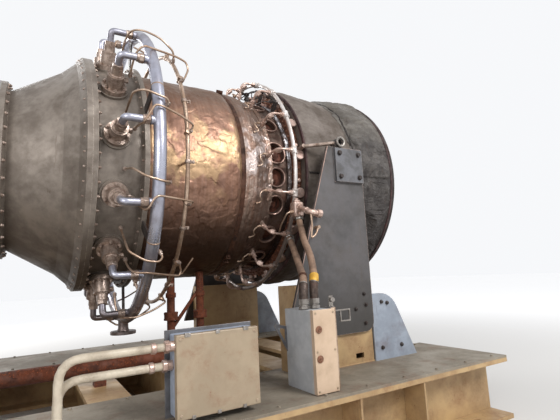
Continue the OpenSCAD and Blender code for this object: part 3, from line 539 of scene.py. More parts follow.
class Effects:
    """Builds the shared node groups, each by the method of its name, and places them."""

    built: dict[Effect, bpy.types.NodeTree] = {}

    @classmethod
    def place(cls, wiring: Wiring, effect: Effect, **inputs: Input) -> bpy.types.Node:
        """Place an effect in a material, and build its group when it is first needed.

        Args:
            wiring: The material's wiring.
            effect: Which effect.
            inputs: The values of its inputs by name, all of them each time.

        Returns:
            The group node.
        """
        if effect not in cls.built:
            tree = bpy.data.node_groups.new(effect.value, "ShaderNodeTree")
            for key in inputs:
                tree.interface.new_socket(key, in_out="INPUT", socket_type="NodeSocketFloat")
            inner = Wiring(tree)
            results = getattr(cls, effect.value)(inner, inner.add("NodeGroupInput").outputs)
            for key in results:
                tree.interface.new_socket(key, in_out="OUTPUT", socket_type="NodeSocketFloat")
            inner.add("NodeGroupOutput", results)
            cls.built[effect] = tree
        return wiring.add("ShaderNodeGroup", inputs, node_tree=cls.built[effect])

    @classmethod
    def mask(cls, wiring: Wiring, effect: Effect, **inputs: Input) -> Socket:
        """Place an effect that has one output, and give that output."""
        return cls.place(wiring, effect, **inputs).outputs[0]

    @staticmethod
    def patches(w: Wiring, given: Mapping[str, Socket]) -> dict[str, Socket]:
        """Two sizes of soft, uneven patches."""
        scale = w.per(given["Size"])
        at = w.coords()
        large = w.noise(at, scale, 3, 0.6, 0.4)
        small = w.noise(at, w.times(scale, 4.3), 5, 0.7)
        return {"Mask": w.between(w.plus(w.times(large, 0.7), w.times(small, 0.3)), 0.38, 0.62)}

    @staticmethod
    def grime(w: Wiring, given: Mapping[str, Socket]) -> dict[str, Socket]:
        """A film of dirt, thicker in soft patches and broken up by fine dust."""
        scale = w.per(given["Size"])
        at = w.coords()
        broad = w.noise(at, w.times(scale, 0.5), 9, 0.68, 0.3)
        level = w.minus(0.78, w.times(given["Cover"], 0.5))
        film = w.between(broad, w.minus(level, 0.22), w.plus(level, 0.08))
        dust = w.noise(at, w.times(scale, 11.0), 6, 0.75)
        return {"Mask": w.times(film, w.between(dust, 0.3, 0.7, 0.35, 1.0))}

    @staticmethod
    def edge_wear(w: Wiring, given: Mapping[str, Socket]) -> dict[str, Socket]:
        """Where an edge is rubbed, found from how far rounding would turn its normal."""
        rounded = w.add("ShaderNodeBevel", {"Radius": given["Width"]}, samples=4).outputs[0]
        flat = w.add("ShaderNodeNewGeometry").outputs["Normal"]
        dot = w.add("ShaderNodeVectorMath", {0: rounded, 1: flat},
                    operation="DOT_PRODUCT").outputs["Value"]
        broken = w.between(w.noise(w.coords(), 60.0, 5, 0.7), 0.35, 0.6)
        return {"Mask": w.times(w.between(w.minus(1.0, dot), 0.01, 0.22), broken)}

    @staticmethod
    def speckle(w: Wiring, given: Mapping[str, Socket]) -> dict[str, Socket]:
        """Small spots of uneven size, clustered here and there."""
        scale = w.per(given["Size"])
        at = w.coords()
        cluster = w.noise(at, w.times(scale, 0.12), 4, 0.7)
        level = w.minus(0.8, w.times(given["Cover"], 0.5))
        where = w.between(cluster, w.minus(level, 0.08), level)
        return {"Mask": w.times(w.between(w.cells(at, scale), 0.42, 0.18), where)}

    @staticmethod
    def drips(w: Wiring, given: Mapping[str, Socket]) -> dict[str, Socket]:
        """Stains that ran down, long in Z and narrow across."""
        run = w.noise(w.stretched(w.coords(), (1, 1, 0.07)), w.per(given["Size"]), 5, 0.6)
        level = w.minus(0.72, w.times(given["Cover"], 0.4))
        return {"Mask": w.between(run, level, w.plus(level, 0.12))}

    @staticmethod
    def foil(w: Wiring, given: Mapping[str, Socket]) -> dict[str, Socket]:
        """The relief of foil wrapped by hand: flat dents with crisp rims, creases and streaks."""
        scale = w.per(given["Size"])
        at = w.coords()
        warp = w.noise(at, w.times(scale, 0.5), 3, 0.6, output="Color")
        push = w.add("ShaderNodeVectorMath", {0: warp, 1: (0.06, 0.06, 0.06)},
                     operation="MULTIPLY").outputs["Vector"]
        bent = w.add("ShaderNodeVectorMath", {0: at, 1: push}, operation="ADD").outputs["Vector"]
        plates = w.between(w.noise(bent, w.times(scale, 0.55), 2, 0.5), 0.46, 0.54, 0.0, 0.5)
        dents = w.between(w.noise(bent, w.times(scale, 1.6), 2, 0.5), 0.43, 0.57, 0.0, 0.2)
        loose = w.between(w.noise(at, w.times(scale, 0.3), 3), 0.5, 0.64)
        edge = w.between(w.cells(bent, w.times(scale, 0.8), "DISTANCE_TO_EDGE"), 0.0, 0.07, 1.0,
                         0.0)
        crease = w.times(edge, loose)
        rolled = w.noise(w.stretched(at, (1, 0.05, 0.05)), w.times(scale, 4.5), 5, 0.65)
        height = w.plus(w.plus(plates, dents), w.plus(w.times(crease, 0.1), w.times(rolled, 0.14)))
        return {"Height": height, "Crease": crease}

    @staticmethod
    def wrinkles(w: Wiring, given: Mapping[str, Socket]) -> dict[str, Socket]:
        """Long soft folds with finer ones between them, as in a sewn cloth cover."""
        scale = w.per(given["Size"])
        at = w.stretched(w.coords(), (0.45, 1.0, 1.0))
        folds = w.noise(at, scale, 4, 0.55, 1.6)
        sharp = w.between(w.maths("ABSOLUTE", w.minus(folds, 0.5)), 0.0, 0.09, 1.0, 0.0)
        rough = w.noise(at, w.times(scale, 5.0), 5, 0.6, 0.8)
        height = w.plus(w.plus(w.times(folds, 0.7), w.times(rough, 0.2)), w.times(sharp, 0.15))
        return {"Height": height, "Fold": sharp}

    @staticmethod
    def weave(w: Wiring, given: Mapping[str, Socket]) -> dict[str, Socket]:
        """Crossed threads of a pitch."""
        rate = w.maths("DIVIDE", 2 * math.pi, given["Pitch"])
        split = w.add("ShaderNodeSeparateXYZ", {0: w.coords()}).outputs
        up = w.maths("SINE", w.times(split["Z"], rate))
        along = w.maths("SINE", w.times(w.plus(split["X"], split["Y"]), rate))
        return {"Height": w.times(up, along)}

    @staticmethod
    def low_down(w: Wiring, given: Mapping[str, Socket]) -> dict[str, Socket]:
        """How far below a height a point lies, with a ragged edge."""
        ragged = w.times(w.minus(w.noise(w.coords(), 7.0, 5, 0.6), 0.5), 0.22)
        return {"Mask": w.between(w.plus(w.height(), ragged), given["Bottom"], given["Top"],
                                  1.0, 0.0)}

    @staticmethod
    def band(w: Wiring, given: Mapping[str, Socket]) -> dict[str, Socket]:
        """Patches that gather between two heights."""
        height, soft = w.height(), 0.14
        above = w.between(height, w.minus(given["Low"], soft), w.plus(given["Low"], soft))
        below = w.between(height, w.minus(given["High"], soft), w.plus(given["High"], soft),
                          1.0, 0.0)
        inside = w.times(above, below)
        cloud = w.noise(w.coords(), w.per(given["Size"]), 3, 0.5, 0.5)
        level = w.minus(0.62, w.times(inside, 0.16))
        patch = w.between(cloud, w.minus(level, 0.05), w.plus(level, 0.07))
        return {"Mask": w.times(patch, inside)}

    @staticmethod
    def streaks(w: Wiring, given: Mapping[str, Socket]) -> dict[str, Socket]:
        """Fine streaks that run round the engine, as rolled sheet shows."""
        at = w.stretched(w.coords(), (1, 0.07, 0.07))
        return {"Mask": w.between(w.noise(at, w.per(given["Size"]), 6, 0.6), 0.4, 0.62)}


@dataclass(frozen=True)
class Stain:
    """A colour that lies on a finish in spots of a size, or along edges of a width."""

    colour: Colour
    size: float = 0.03
    cover: float = 1.0


@dataclass(frozen=True)
class Fade:
    """A colour that a finish takes on beyond a height, and fully beyond another. Towards the
    bottom it is painted shade.
    """

    colour: Colour
    top: float
    bottom: float


FINISHED: dict[str, bpy.types.Material] = {}


@dataclass(frozen=True)
class Finish:
    """A surface finish, with its dirt, its wear, its painted shade, its relief and the record's
    slot for it.

    Colours are as they look, 0 to 255. Grain and its like are a size and how tall it is.
    """

    name: str
    colour: Colour
    shade: Colour
    patch: float = 0.15
    metallic: float = 0.0
    rough: tuple[float, float] = (0.35, 0.6)
    grime: Stain = Stain((58, 44, 32), 0.09, 0.35)
    rust: Stain | None = None
    drip: Stain | None = None
    wear: Stain | None = None
    high: Fade | None = None
    # low: a darker colour towards the bottom, painted shade.
    low: Fade | None = None
    grain: tuple[float, float] = (0.004, 0.0004)
    coat: float = 0.0
    slot: str = "heat_tinted_steel"

    def relief(self, w: Wiring) -> tuple[Socket, float, Socket | None]:
        """The height of the finish's relief, how tall it is, and a mask of its creases."""
        return w.noise(w.coords(), 1 / self.grain[0], 5, 0.65), self.grain[1], None

    def tint(self, w: Wiring, colour: Socket) -> Socket:
        """A finish's own colouring on top of its two colours."""
        return colour

    def material(self) -> bpy.types.Material:
        """The finish as a material, built once."""
        if self.name in FINISHED:
            return FINISHED[self.name]
        made = bpy.data.materials.new(self.name + "_finish")
        FINISHED[self.name] = made
        made.use_nodes = True
        w = Wiring(made.node_tree)
        patches = Effects.mask(w, Effect.PATCHES, Size=self.patch)
        colour = w.mix(patches, linear(self.colour), linear(self.shade))
        if self.high:
            under = Effects.mask(w, Effect.LOW_DOWN, Top=self.high.top, Bottom=self.high.bottom)
            colour = w.mix(under, linear(self.high.colour), colour)
        colour = self.tint(w, colour)
        rough = w.between(patches, 0.0, 1.0, *self.rough)
        height, tall, crease = self.relief(w)
        metal: Input = self.metallic
        # Painted shade: creases of the foil and folds of the cloth are darkened with the grime
        # colour.
        if crease is not None:
            colour = w.over(colour, crease, self.grime.colour, 0.25)
        if self.drip:
            run = Effects.mask(w, Effect.DRIPS, Size=self.drip.size, Cover=self.drip.cover)
            colour = w.over(colour, run, self.drip.colour, 0.6)
        if self.grime.cover:
            dirt = Effects.mask(w, Effect.GRIME, Size=self.grime.size, Cover=self.grime.cover)
            colour = w.over(colour, dirt, self.grime.colour, 0.6)
            rough = w.plus(rough, w.times(dirt, 0.2), clamp=True)
        # Painted shade: the colour darkens towards the bottom, where the surface lies in shade.
        if self.low:
            below = Effects.mask(w, Effect.LOW_DOWN, Top=self.low.top, Bottom=self.low.bottom)
            colour = w.over(colour, below, self.low.colour, 0.85)
        if self.wear:
            worn = Effects.mask(w, Effect.EDGE_WEAR, Width=self.wear.size)
            colour = w.over(colour, worn, self.wear.colour)
        if self.rust:
            size, cover = self.rust.size, self.rust.cover
            spots = Effects.mask(w, Effect.SPECKLE, Size=size, Cover=cover)
            bloom = Effects.mask(w, Effect.GRIME, Size=size * 6, Cover=cover * 0.8)
            rusty = w.maths("MAXIMUM", spots, w.times(bloom, 0.8))
            colour = w.over(colour, rusty, self.rust.colour)
            rough = w.plus(rough, w.times(rusty, 0.35), clamp=True)
            if self.metallic:
                metal = w.times(w.minus(1.0, rusty), self.metallic)
        bump = w.add("ShaderNodeBump", {"Height": height, "Strength": 1.0, "Distance": tall})
        w.surface({"Base Color": colour, "Roughness": rough, "Metallic": metal,
                   "Normal": bump.outputs["Normal"], "Coat Weight": self.coat,
                   "Coat Roughness": 0.25})
        return made


@dataclass(frozen=True)
class FoilFinish(Finish):
    """Heat-tinted metal foil, wrapped and dented by hand."""

    crumple: tuple[float, float] = (0.05, 0.005)
    streak: Stain = Stain((120, 84, 62), 0.012, 0.4)
    # Bright patches between two heights, given as a colour, a size and a share: partly heat tint,
    # partly a painted highlight.
    tint_and_highlight: Stain = Stain((242, 214, 152), 0.13, 0.9)
    highlight_heights: tuple[float, float] = (1.46, 1.8)
    slot: str = "foil_wrap"

    def relief(self, w: Wiring) -> tuple[Socket, float, Socket | None]:
        """Dents and creases of the foil."""
        node = Effects.place(w, Effect.FOIL, Size=self.crumple[0])
        return node.outputs["Height"], self.crumple[1], node.outputs["Crease"]

    def tint(self, w: Wiring, colour: Socket) -> Socket:
        """Streaks from the roll, and bright patches between two heights: partly the foil's own
        heat tint, partly a painted highlight.
        """
        streaks = Effects.mask(w, Effect.STREAKS, Size=self.streak.size)
        colour = w.over(colour, streaks, self.streak.colour, self.streak.cover)
        low, high = self.highlight_heights
        # Painted highlight: bright patches laid into the foil's colour between two heights, partly
        # its own tint.
        tint_and_highlight = Effects.mask(w, Effect.BAND, Low=low, High=high, Size=self.tint_and_highlight.size)
        return w.over(colour, tint_and_highlight, self.tint_and_highlight.colour, self.tint_and_highlight.cover)


@dataclass(frozen=True)
class ClothFinish(Finish):
    """Woven cover cloth over insulation, wrinkled and dusty."""

    fold: tuple[float, float] = (0.09, 0.014)
    thread: float = 0.0035
    slot: str = "blanket"

    def relief(self, w: Wiring) -> tuple[Socket, float, Socket | None]:
        """Folds with a fine weave on them."""
        node = Effects.place(w, Effect.WRINKLES, Size=self.fold[0])
        weave = Effects.mask(w, Effect.WEAVE, Pitch=self.thread)
        height = w.plus(node.outputs["Height"], w.times(weave, 0.02))
        return height, self.fold[1], node.outputs["Fold"]


@dataclass(frozen=True)
class SleeveFinish(Finish):
    """Braided sleeve of a hose."""

    braid: tuple[float, float] = (0.006, 0.0009)
    slot: str = "hose_sleeve"

    def relief(self, w: Wiring) -> tuple[Socket, float, Socket | None]:
        """Crossed strands of the braid."""
        return Effects.mask(w, Effect.WEAVE, Pitch=self.braid[0]), self.braid[1], None


FOIL_COPPER = FoilFinish(
    "foil_copper", (158, 124, 106), (130, 100, 86), metallic=0.85, rough=(0.42, 0.56),
    grime=Stain((74, 50, 38), 0.16, 0.24), high=Fade((122, 100, 84), 2.08, 1.8),
    low=Fade((58, 46, 39), 1.42, 1.0), crumple=(0.085, 0.0055),
    tint_and_highlight=Stain((182, 154, 116), 0.13, 0.65), highlight_heights=(1.38, 1.8))
FOIL_SILVER = FoilFinish(
    "foil_silver", (166, 146, 134), (132, 112, 99), patch=0.1, metallic=0.82, rough=(0.36, 0.52),
    grime=Stain((78, 56, 46), 0.1, 0.26), high=Fade((118, 98, 84), 2.02, 1.76),
    low=Fade((66, 48, 40), 1.4, 1.0), crumple=(0.045, 0.0035),
    streak=Stain((126, 92, 76), 0.009, 0.6), tint_and_highlight=Stain((196, 184, 180), 0.08, 0.75),
    highlight_heights=(1.42, 1.8))
FOIL_STRIP = FoilFinish(
    "foil_strip", (166, 164, 166), (104, 94, 90), patch=0.05, metallic=0.88, rough=(0.25, 0.45),
    grime=Stain((50, 38, 32), 0.03, 0.4), low=Fade((60, 46, 40), 1.5, 1.3), crumple=(0.02, 0.005),
    tint_and_highlight=Stain((226, 226, 230), 0.03, 0.9), highlight_heights=(1.55, 2.1))
BLANKET = ClothFinish(
    "blanket_cloth", (122, 112, 104), (95, 86, 78), patch=0.22, rough=(0.6, 0.82),
    grime=Stain((70, 58, 50), 0.12, 0.34), drip=Stain((78, 62, 52), cover=0.25),
    low=Fade((58, 48, 42), 1.35, 1.0), fold=(0.09, 0.006))
BLANKET_DARK = ClothFinish(
    "blanket_dark", (90, 84, 79), (46, 41, 39), patch=0.1, rough=(0.34, 0.6),
    grime=Stain((40, 33, 31), 0.08, 0.4), drip=Stain((70, 48, 34), cover=0.3),
    high=Fade((106, 100, 92), 1.95, 1.7), low=Fade((44, 37, 35), 1.62, 1.12), fold=(0.13, 0.02))
# Painted shadow: the near-black colour of the gap between the covers and of their slits.
SLIT_SHADOW = ClothFinish(
    "slit_shadow", (34, 28, 26), (24, 20, 19), patch=0.04, rough=(0.7, 0.9),
    grime=Stain((58, 44, 32), cover=0.0), fold=(0.03, 0.002))
EDGE_CLOTH = ClothFinish(
    "edge_cloth", (74, 42, 40), (46, 28, 27), patch=0.06, rough=(0.5, 0.75),
    grime=Stain((34, 26, 24), 0.09, 0.35), fold=(0.05, 0.004))
RUSTY_BAND = Finish(
    "rusty_band", (84, 54, 38), (50, 33, 25), patch=0.06, metallic=0.45, rough=(0.5, 0.78),
    grime=Stain((34, 24, 18), 0.09, 0.35), rust=Stain((98, 58, 38), 0.01, 0.4),
    wear=Stain((150, 106, 82), 0.0025), grain=(0.004, 0.0008), slot="rusty_steel")
RUSTY_STEEL = Finish(
    "rusty_steel", (92, 52, 36), (58, 36, 28), patch=0.05, metallic=0.3, rough=(0.55, 0.85),
    grime=Stain((36, 26, 22), 0.09, 0.35), rust=Stain((126, 64, 36), 0.012, 0.6),
    grain=(0.004, 0.001), slot="rusty_steel")
PORT_STEEL = Finish(
    "port_steel", (112, 96, 86), (78, 62, 54), patch=0.08, metallic=0.7, rough=(0.42, 0.66),
    grime=Stain((44, 32, 27), 0.04, 0.4), rust=Stain((100, 56, 38), 0.008, 0.35),
    wear=Stain((176, 150, 136), 0.004), low=Fade((38, 28, 24), 1.25, 0.98))
RIM_STEEL = Finish(
    "rim_steel", (176, 148, 136), (142, 116, 104), patch=0.04, metallic=0.85, rough=(0.3, 0.5),
    grime=Stain((64, 44, 36), 0.03, 0.3))
SILVER_TUBE = Finish(
    "silver_tube", (186, 188, 202), (146, 146, 158), patch=0.25, metallic=0.85, rough=(0.26, 0.42),
    grime=Stain((110, 92, 80), 0.1, 0.28), drip=Stain((120, 102, 90), cover=0.2),
    low=Fade((104, 88, 78), 0.95, 0.6), grain=(0.004, 0.0002), slot="manifold_steel")
TAN_TUBE = Finish(
    "tan_tube", (196, 172, 152), (158, 132, 112), patch=0.09, metallic=0.8, rough=(0.28, 0.46),
    grime=Stain((92, 70, 54), 0.05, 0.3), grain=(0.004, 0.0002))
PALE_TUBE = Finish(
    "pale_tube", (216, 210, 206), (180, 168, 160), patch=0.12, metallic=0.4, rough=(0.28, 0.46),
    grime=Stain((120, 100, 88), 0.05, 0.25), low=Fade((100, 84, 76), 1.42, 1.2),
    grain=(0.004, 0.0003), slot="pale_tube")
NOZZLE_STEEL = Finish(
    "nozzle_steel", (214, 190, 178), (170, 142, 128), patch=0.03, metallic=0.65, rough=(0.3, 0.48),
    grime=Stain((84, 62, 52), 0.02, 0.3), grain=(0.004, 0.0003))
DISC_STEEL = Finish(
    "disc_steel", (206, 178, 166), (160, 138, 128), patch=0.03, metallic=0.5, rough=(0.35, 0.52),
    grime=Stain((96, 70, 58), 0.02, 0.28), rust=Stain((140, 92, 72), 0.006, 0.22))
COPPER_RING = Finish(
    "copper_ring", (130, 88, 66), (86, 54, 42), patch=0.07, metallic=0.6, rough=(0.4, 0.65),
    grime=Stain((44, 30, 24), 0.05, 0.4), rust=Stain((116, 62, 40), 0.008, 0.35),
    wear=Stain((190, 140, 112), 0.003), slot="rusty_steel")
CASTING = Finish(
    "casting", (156, 154, 151), (128, 125, 121), patch=0.3, metallic=0.3, rough=(0.45, 0.62),
    grime=Stain((92, 82, 74), 0.18, 0.26), drip=Stain((100, 88, 78), cover=0.2),
    wear=Stain((188, 184, 180), 0.003), grain=(0.006, 0.0009), slot="casting")
HOT_CASTING = Finish(
    "hot_casting", (142, 132, 122), (110, 100, 91), patch=0.2, metallic=0.45, rough=(0.4, 0.6),
    grime=Stain((74, 62, 53), 0.16, 0.26), drip=Stain((70, 48, 34), cover=0.18),
    wear=Stain((182, 170, 158), 0.003), low=Fade((60, 50, 42), 1.2, 0.9), slot="casting")
DARK_CASTING = Finish(
    "dark_casting", (74, 68, 66), (50, 44, 42), patch=0.12, metallic=0.5, rough=(0.45, 0.7),
    grime=Stain((32, 26, 24), 0.08, 0.4), rust=Stain((92, 54, 36), 0.01, 0.25),
    wear=Stain((130, 120, 114), 0.002), slot="dark_casting")
VANE_STEEL = Finish(
    "vane_steel", (178, 176, 172), (140, 136, 130), patch=0.08, metallic=0.9, rough=(0.28, 0.42),
    grime=Stain((80, 70, 60), 0.06, 0.25), slot="vane_steel")
BOLT_STEEL = Finish(
    "bolt_steel", (128, 118, 110), (86, 74, 66), patch=0.02, metallic=0.8, rough=(0.35, 0.55),
    grime=Stain((50, 38, 32), 0.015, 0.35), rust=Stain((104, 58, 38), 0.004, 0.3),
    slot="rusty_steel")
PLATE_STEEL = Finish(
    "plate_steel", (92, 89, 90), (73, 71, 71), patch=0.3, metallic=0.2, rough=(0.45, 0.62),
    grime=Stain((78, 70, 62), 0.12, 0.3), drip=Stain((88, 80, 72), cover=0.28),
    wear=Stain((196, 168, 154), 0.005), low=Fade((62, 59, 56), 0.95, 0.55), grain=(0.01, 0.0005),
    slot="plate_steel")
# Painted highlight: the pale colour of the strips along the plates' lit edges, with painted shade
# lower down.
LIT_EDGE_PAINT = Finish(
    "lit_edge_paint", (176, 146, 134), (140, 118, 108), patch=0.1, metallic=0.2, rough=(0.4, 0.6),
    grime=Stain((92, 80, 72), 0.06, 0.3), low=Fade((80, 72, 66), 1.2, 0.6), slot="plate_steel")
PAD_STEEL = Finish(
    "pad_steel", (106, 106, 110), (90, 90, 93), patch=0.1, metallic=0.25, rough=(0.42, 0.6),
    grime=Stain((78, 72, 66), 0.05, 0.3), drip=Stain((70, 48, 34), cover=0.2),
    wear=Stain((172, 160, 152), 0.004), slot="plate_steel")
CREAM_PAINT = Finish(
    "cream_paint", (166, 148, 124), (154, 137, 114), patch=0.2, rough=(0.38, 0.55),
    grime=Stain((140, 116, 94), 0.12, 0.14), rust=Stain((128, 74, 44), 0.006, 0.18),
    drip=Stain((160, 132, 106), cover=0.18), wear=Stain((224, 196, 176), 0.0025),
    grain=(0.002, 0.00015), coat=0.15, slot="box_paint")
WARM_PAINT = Finish(
    "warm_paint", (206, 180, 154), (192, 166, 140), patch=0.2, rough=(0.38, 0.55),
    grime=Stain((146, 118, 96), 0.1, 0.22), drip=Stain((160, 130, 104), cover=0.2),
    wear=Stain((236, 214, 196), 0.0025), grain=(0.004, 0.00015), coat=0.15, slot="box_paint")
STAINED_STEEL = Finish(
    "stained_steel", (146, 106, 84), (104, 74, 58), patch=0.01, metallic=0.2, rough=(0.5, 0.75),
    grime=Stain((84, 56, 44), 0.01, 0.4), rust=Stain((128, 72, 44), 0.006, 0.4),
    grain=(0.002, 0.0006), slot="rusty_steel")
PLUG_STEEL = Finish(
    "plug_steel", (108, 60, 41), (64, 39, 30), patch=0.03, metallic=0.3, rough=(0.55, 0.8),
    grime=Stain((40, 28, 24), 0.03, 0.4), rust=Stain((112, 60, 42), 0.008, 0.35),
    grain=(0.003, 0.0008), slot="rusty_steel")
# Painted shade: the small box's body is cream paint made greyer, as its sides look in shade.
SHADED_SIDE_PAINT = Finish(
    "shaded_side_paint", (186, 188, 190), (170, 172, 175), patch=0.12, rough=(0.38, 0.55),
    grime=Stain((110, 102, 94), 0.09, 0.22), drip=Stain((126, 112, 100), cover=0.2),
    wear=Stain((206, 196, 184), 0.002), grain=(0.004, 0.00015), coat=0.1, slot="box_paint")
BLUE_PAINT = Finish(
    "blue_paint", (176, 186, 204), (152, 162, 180), patch=0.1, rough=(0.38, 0.55),
    grime=Stain((96, 92, 90), 0.07, 0.26), drip=Stain((112, 108, 108), cover=0.3),
    wear=Stain((196, 198, 206), 0.002), grain=(0.004, 0.00015), coat=0.1, slot="box_paint")
PALE_PAINT = Finish(
    "pale_paint", (154, 163, 176), (138, 146, 158), patch=0.16, rough=(0.38, 0.55),
    grime=Stain((96, 90, 86), 0.09, 0.26), rust=Stain((96, 52, 30), 0.02, 0.12),
    drip=Stain((70, 48, 34), cover=0.25), wear=Stain((168, 170, 168), 0.004),
    grain=(0.004, 0.0002), coat=0.12)
SKID_PAINT = Finish(
    "skid_paint", (188, 158, 114), (166, 136, 98), patch=0.35, rough=(0.42, 0.6),
    grime=Stain((112, 90, 68), 0.2, 0.28), rust=Stain((116, 66, 40), 0.012, 0.22),
    drip=Stain((124, 96, 68), cover=0.25), wear=Stain((120, 92, 68), 0.004), grain=(0.004, 0.0003),
    coat=0.1, slot="skid_paint")
DECK_PAINT = Finish(
    "deck_paint", (152, 142, 126), (126, 117, 103), patch=0.5, rough=(0.5, 0.7),
    grime=Stain((92, 82, 70), 0.3, 0.34), rust=Stain((112, 72, 50), 0.012, 0.22),
    wear=Stain((176, 160, 140), 0.003), grain=(0.004, 0.0006), slot="deck_plate")
HOSE_SLEEVE = SleeveFinish(
    "hose_sleeve", (158, 128, 106), (122, 98, 82), patch=0.08, rough=(0.5, 0.72),
    grime=Stain((80, 62, 50), 0.05, 0.35))
FITTING_STEEL = Finish(
    "fitting_steel", (184, 166, 154), (140, 122, 110), patch=0.03, metallic=0.7, rough=(0.32, 0.5),
    grime=Stain((80, 64, 54), 0.03, 0.3), rust=Stain((124, 80, 58), 0.005, 0.15))
BRIGHT_STEEL = Finish(
    "bright_steel", (162, 156, 150), (128, 122, 116), patch=0.04, metallic=0.7, rough=(0.26, 0.42),
    grime=Stain((96, 88, 80), 0.03, 0.25))
FERRULE_STEEL = Finish(
    "ferrule_steel", (84, 70, 62), (58, 48, 43), patch=0.02, metallic=0.5, rough=(0.4, 0.6),
    grime=Stain((44, 36, 32), 0.02, 0.35), rust=Stain((110, 66, 46), 0.004, 0.2))
TAG_PAINT = Finish(
    "tag_paint", (226, 176, 60), (196, 146, 50), patch=0.03, rough=(0.4, 0.6),
    grime=Stain((110, 86, 50), 0.02, 0.3), slot="box_paint")
CONDUIT = Finish(
    "conduit", (208, 196, 176), (178, 164, 144), patch=0.1, rough=(0.36, 0.55),
    grime=Stain((104, 88, 72), 0.06, 0.32), slot="box_paint")


@dataclass
class SubAssembly:
    """A sub-assembly of the engine, with the pieces that it has built."""

    pieces: list[Piece] = field(default_factory=list, init=False)

    def build(self) -> None:
        """Build and finish every piece."""
        raise NotImplementedError

    def keep(self, name: str, piece: Piece | Sequence[Piece], finish: Finish, node: str = "",
             slot: str = "") -> Piece:
        """Finish a new piece: its name, its material, its body and its node.

        Args:
            name: What the piece is called.
            piece: The piece, with its place in its mesh, or the parts that make it up.
            finish: What it is made of.
            node: The CAD node that it replaces, if any.
            slot: The record's material slot, where it isn't the finish's own; not used.

        Returns:
            The piece.
        """
        if not isinstance(piece, Piece):
            piece = Bench.join(piece)
        piece.name = piece.data.name = name
        piece.data.materials.clear()
        piece.data.materials.append(finish.material())
        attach(piece, ROOT)
        slot or finish.slot
        if node:
            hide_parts(node)
        self.pieces.append(piece)
        LOG.info("piece %s: %d faces", name, len(piece.data.polygons))
        return piece

    def repeat(self, name: str, parts: Sequence[Piece], angles: Iterable[float], finish: Finish,
               node: str = "", slot: str = "") -> None:
        """Join parts, turn the whole to these angles round the engine, and keep that."""
        self.keep(name, Bench.stamp(Bench.join(parts), map(around, angles)), finish, node, slot)

    def bolts(self, name: str, size: float, places: Iterable[Matrix], stand: float = 0.0,
              finish: Finish = BOLT_STEEL, slot: str = "") -> None:
        """Set bolts at places.

        Args:
            name: The joined piece's name.
            size: Width of a head across its corners.
            places: Frames whose X axes point away from the surface.
            stand: How far the studs show past their nuts.
            finish: What the bolts are made of.
            slot: The record's material slot, where it isn't the finish's own.
        """
        self.keep(name, Bench.stamp(Bench.bolt(size, stand), places), finish, slot=slot)


@dataclass
class Studio(SubAssembly):
    """The camera, the lamps, the plain floor and the pale surroundings."""

    stand: Point = (-0.30, -2.80, 0.893)
    yaw: float = 31.173
    pitch: float = 8.596
    roll: float = -2.924
    lens: float = 26.98
    sensor: float = 36.0
    floor_size: float = 60.0
    surround: float = 0.42

    def build(self) -> None:
        """Set the scene."""
        bpy.context.scene.view_settings.view_transform = "Standard"
        self.camera()
        self.lamp("key", (2.6, -6.0, 5.2), (0.9, 0.0, 1.2), 2.6, 390)
        self.lamp("fill", (-5.0, -5.5, 3.2), (0.0, 0.0, 1.3), 3.5, 170)
        self.lamp("back", (-2.5, 6.0, 5.0), (0.0, 0.0, 1.5), 3.0, 300)
        self.floor()
        self.world()

    def camera(self) -> None:
        """Stand the camera where the photograph was taken."""
        yaw, pitch, roll = (math.radians(angle) for angle in (self.yaw, self.pitch, self.roll))
        level = Vector((math.sin(yaw), math.cos(yaw), 0))
        right = Vector((math.cos(yaw), -math.sin(yaw), 0))
        ahead = level * math.cos(pitch) + Vector((0, 0, math.sin(pitch)))
        top = Vector((0, 0, math.cos(pitch))) - level * math.sin(pitch)
        across = right * math.cos(roll) + top * math.sin(roll)
        upward = top * math.cos(roll) - right * math.sin(roll)
        Bench.take()
        bpy.ops.object.camera_add()
        camera = bpy.context.object
        camera.name = "camera"
        camera.matrix_world = (Matrix.Translation(self.stand)
                               @ Matrix((across, upward, -ahead)).transposed().to_4x4())
        put(camera.data, lens=self.lens, sensor_width=self.sensor, sensor_fit="HORIZONTAL")
        bpy.context.scene.camera = camera

    @staticmethod
    def lamp(name: str, place: Point, target: Point, size: float, power: float) -> None:
        """Hang a soft square lamp that faces a target."""
        Bench.take()
        bpy.ops.object.light_add(type="AREA", location=place)
        lamp = bpy.context.object
        lamp.name = name
        lamp.rotation_euler = (Vector(target) - Vector(place)).to_track_quat("-Z", "Y").to_euler()
        put(lamp.data, size=size, energy=power)

    @staticmethod
    def looked_at(w: Wiring) -> Socket:
        """Whether a point is seen by the camera, straight or in something glossy."""
        ray = w.add("ShaderNodeLightPath").outputs
        return w.maths("MAXIMUM", ray["Is Camera Ray"], ray["Is Glossy Ray"])

    def floor(self) -> None:
        """Lay the plain pale floor, which stays pale far away where the lamps don't reach."""
        Bench.take()
        bpy.ops.mesh.primitive_plane_add(size=self.floor_size, location=(0, 0, -0.001))
        floor = bpy.context.object
        floor.name = "floor"
        made = bpy.data.materials.new("pale_floor")
        made.use_nodes = True
        w = Wiring(made.node_tree)
        away = w.add("ShaderNodeVectorMath", {0: w.coords()}, operation="LENGTH")
        far = w.times(w.between(away.outputs["Value"], 2.5, 9.0), self.looked_at(w))
        w.surface({"Base Color": linear((222, 220, 217)), "Roughness": 0.85,
                   "Emission Color": w.mix(far, linear((0, 0, 0)), (0.6, 0.61, 0.63, 1)),
                   "Emission Strength": 1.0})
        floor.data.materials.append(made)

    def world(self) -> None:
        """Make the surroundings pale, and the light from them plain."""
        world = bpy.data.worlds.new("surroundings")
        world.use_nodes = True
        w = Wiring(world.node_tree)
        strength = w.plus(self.surround, w.times(self.looked_at(w), 1 - self.surround))
        light = w.add("ShaderNodeBackground", {
            "Color": (0.93, 0.94, 0.96, 1), "Strength": strength})
        w.add("ShaderNodeOutputWorld", {"Surface": light.outputs[0]})
        bpy.context.scene.world = world


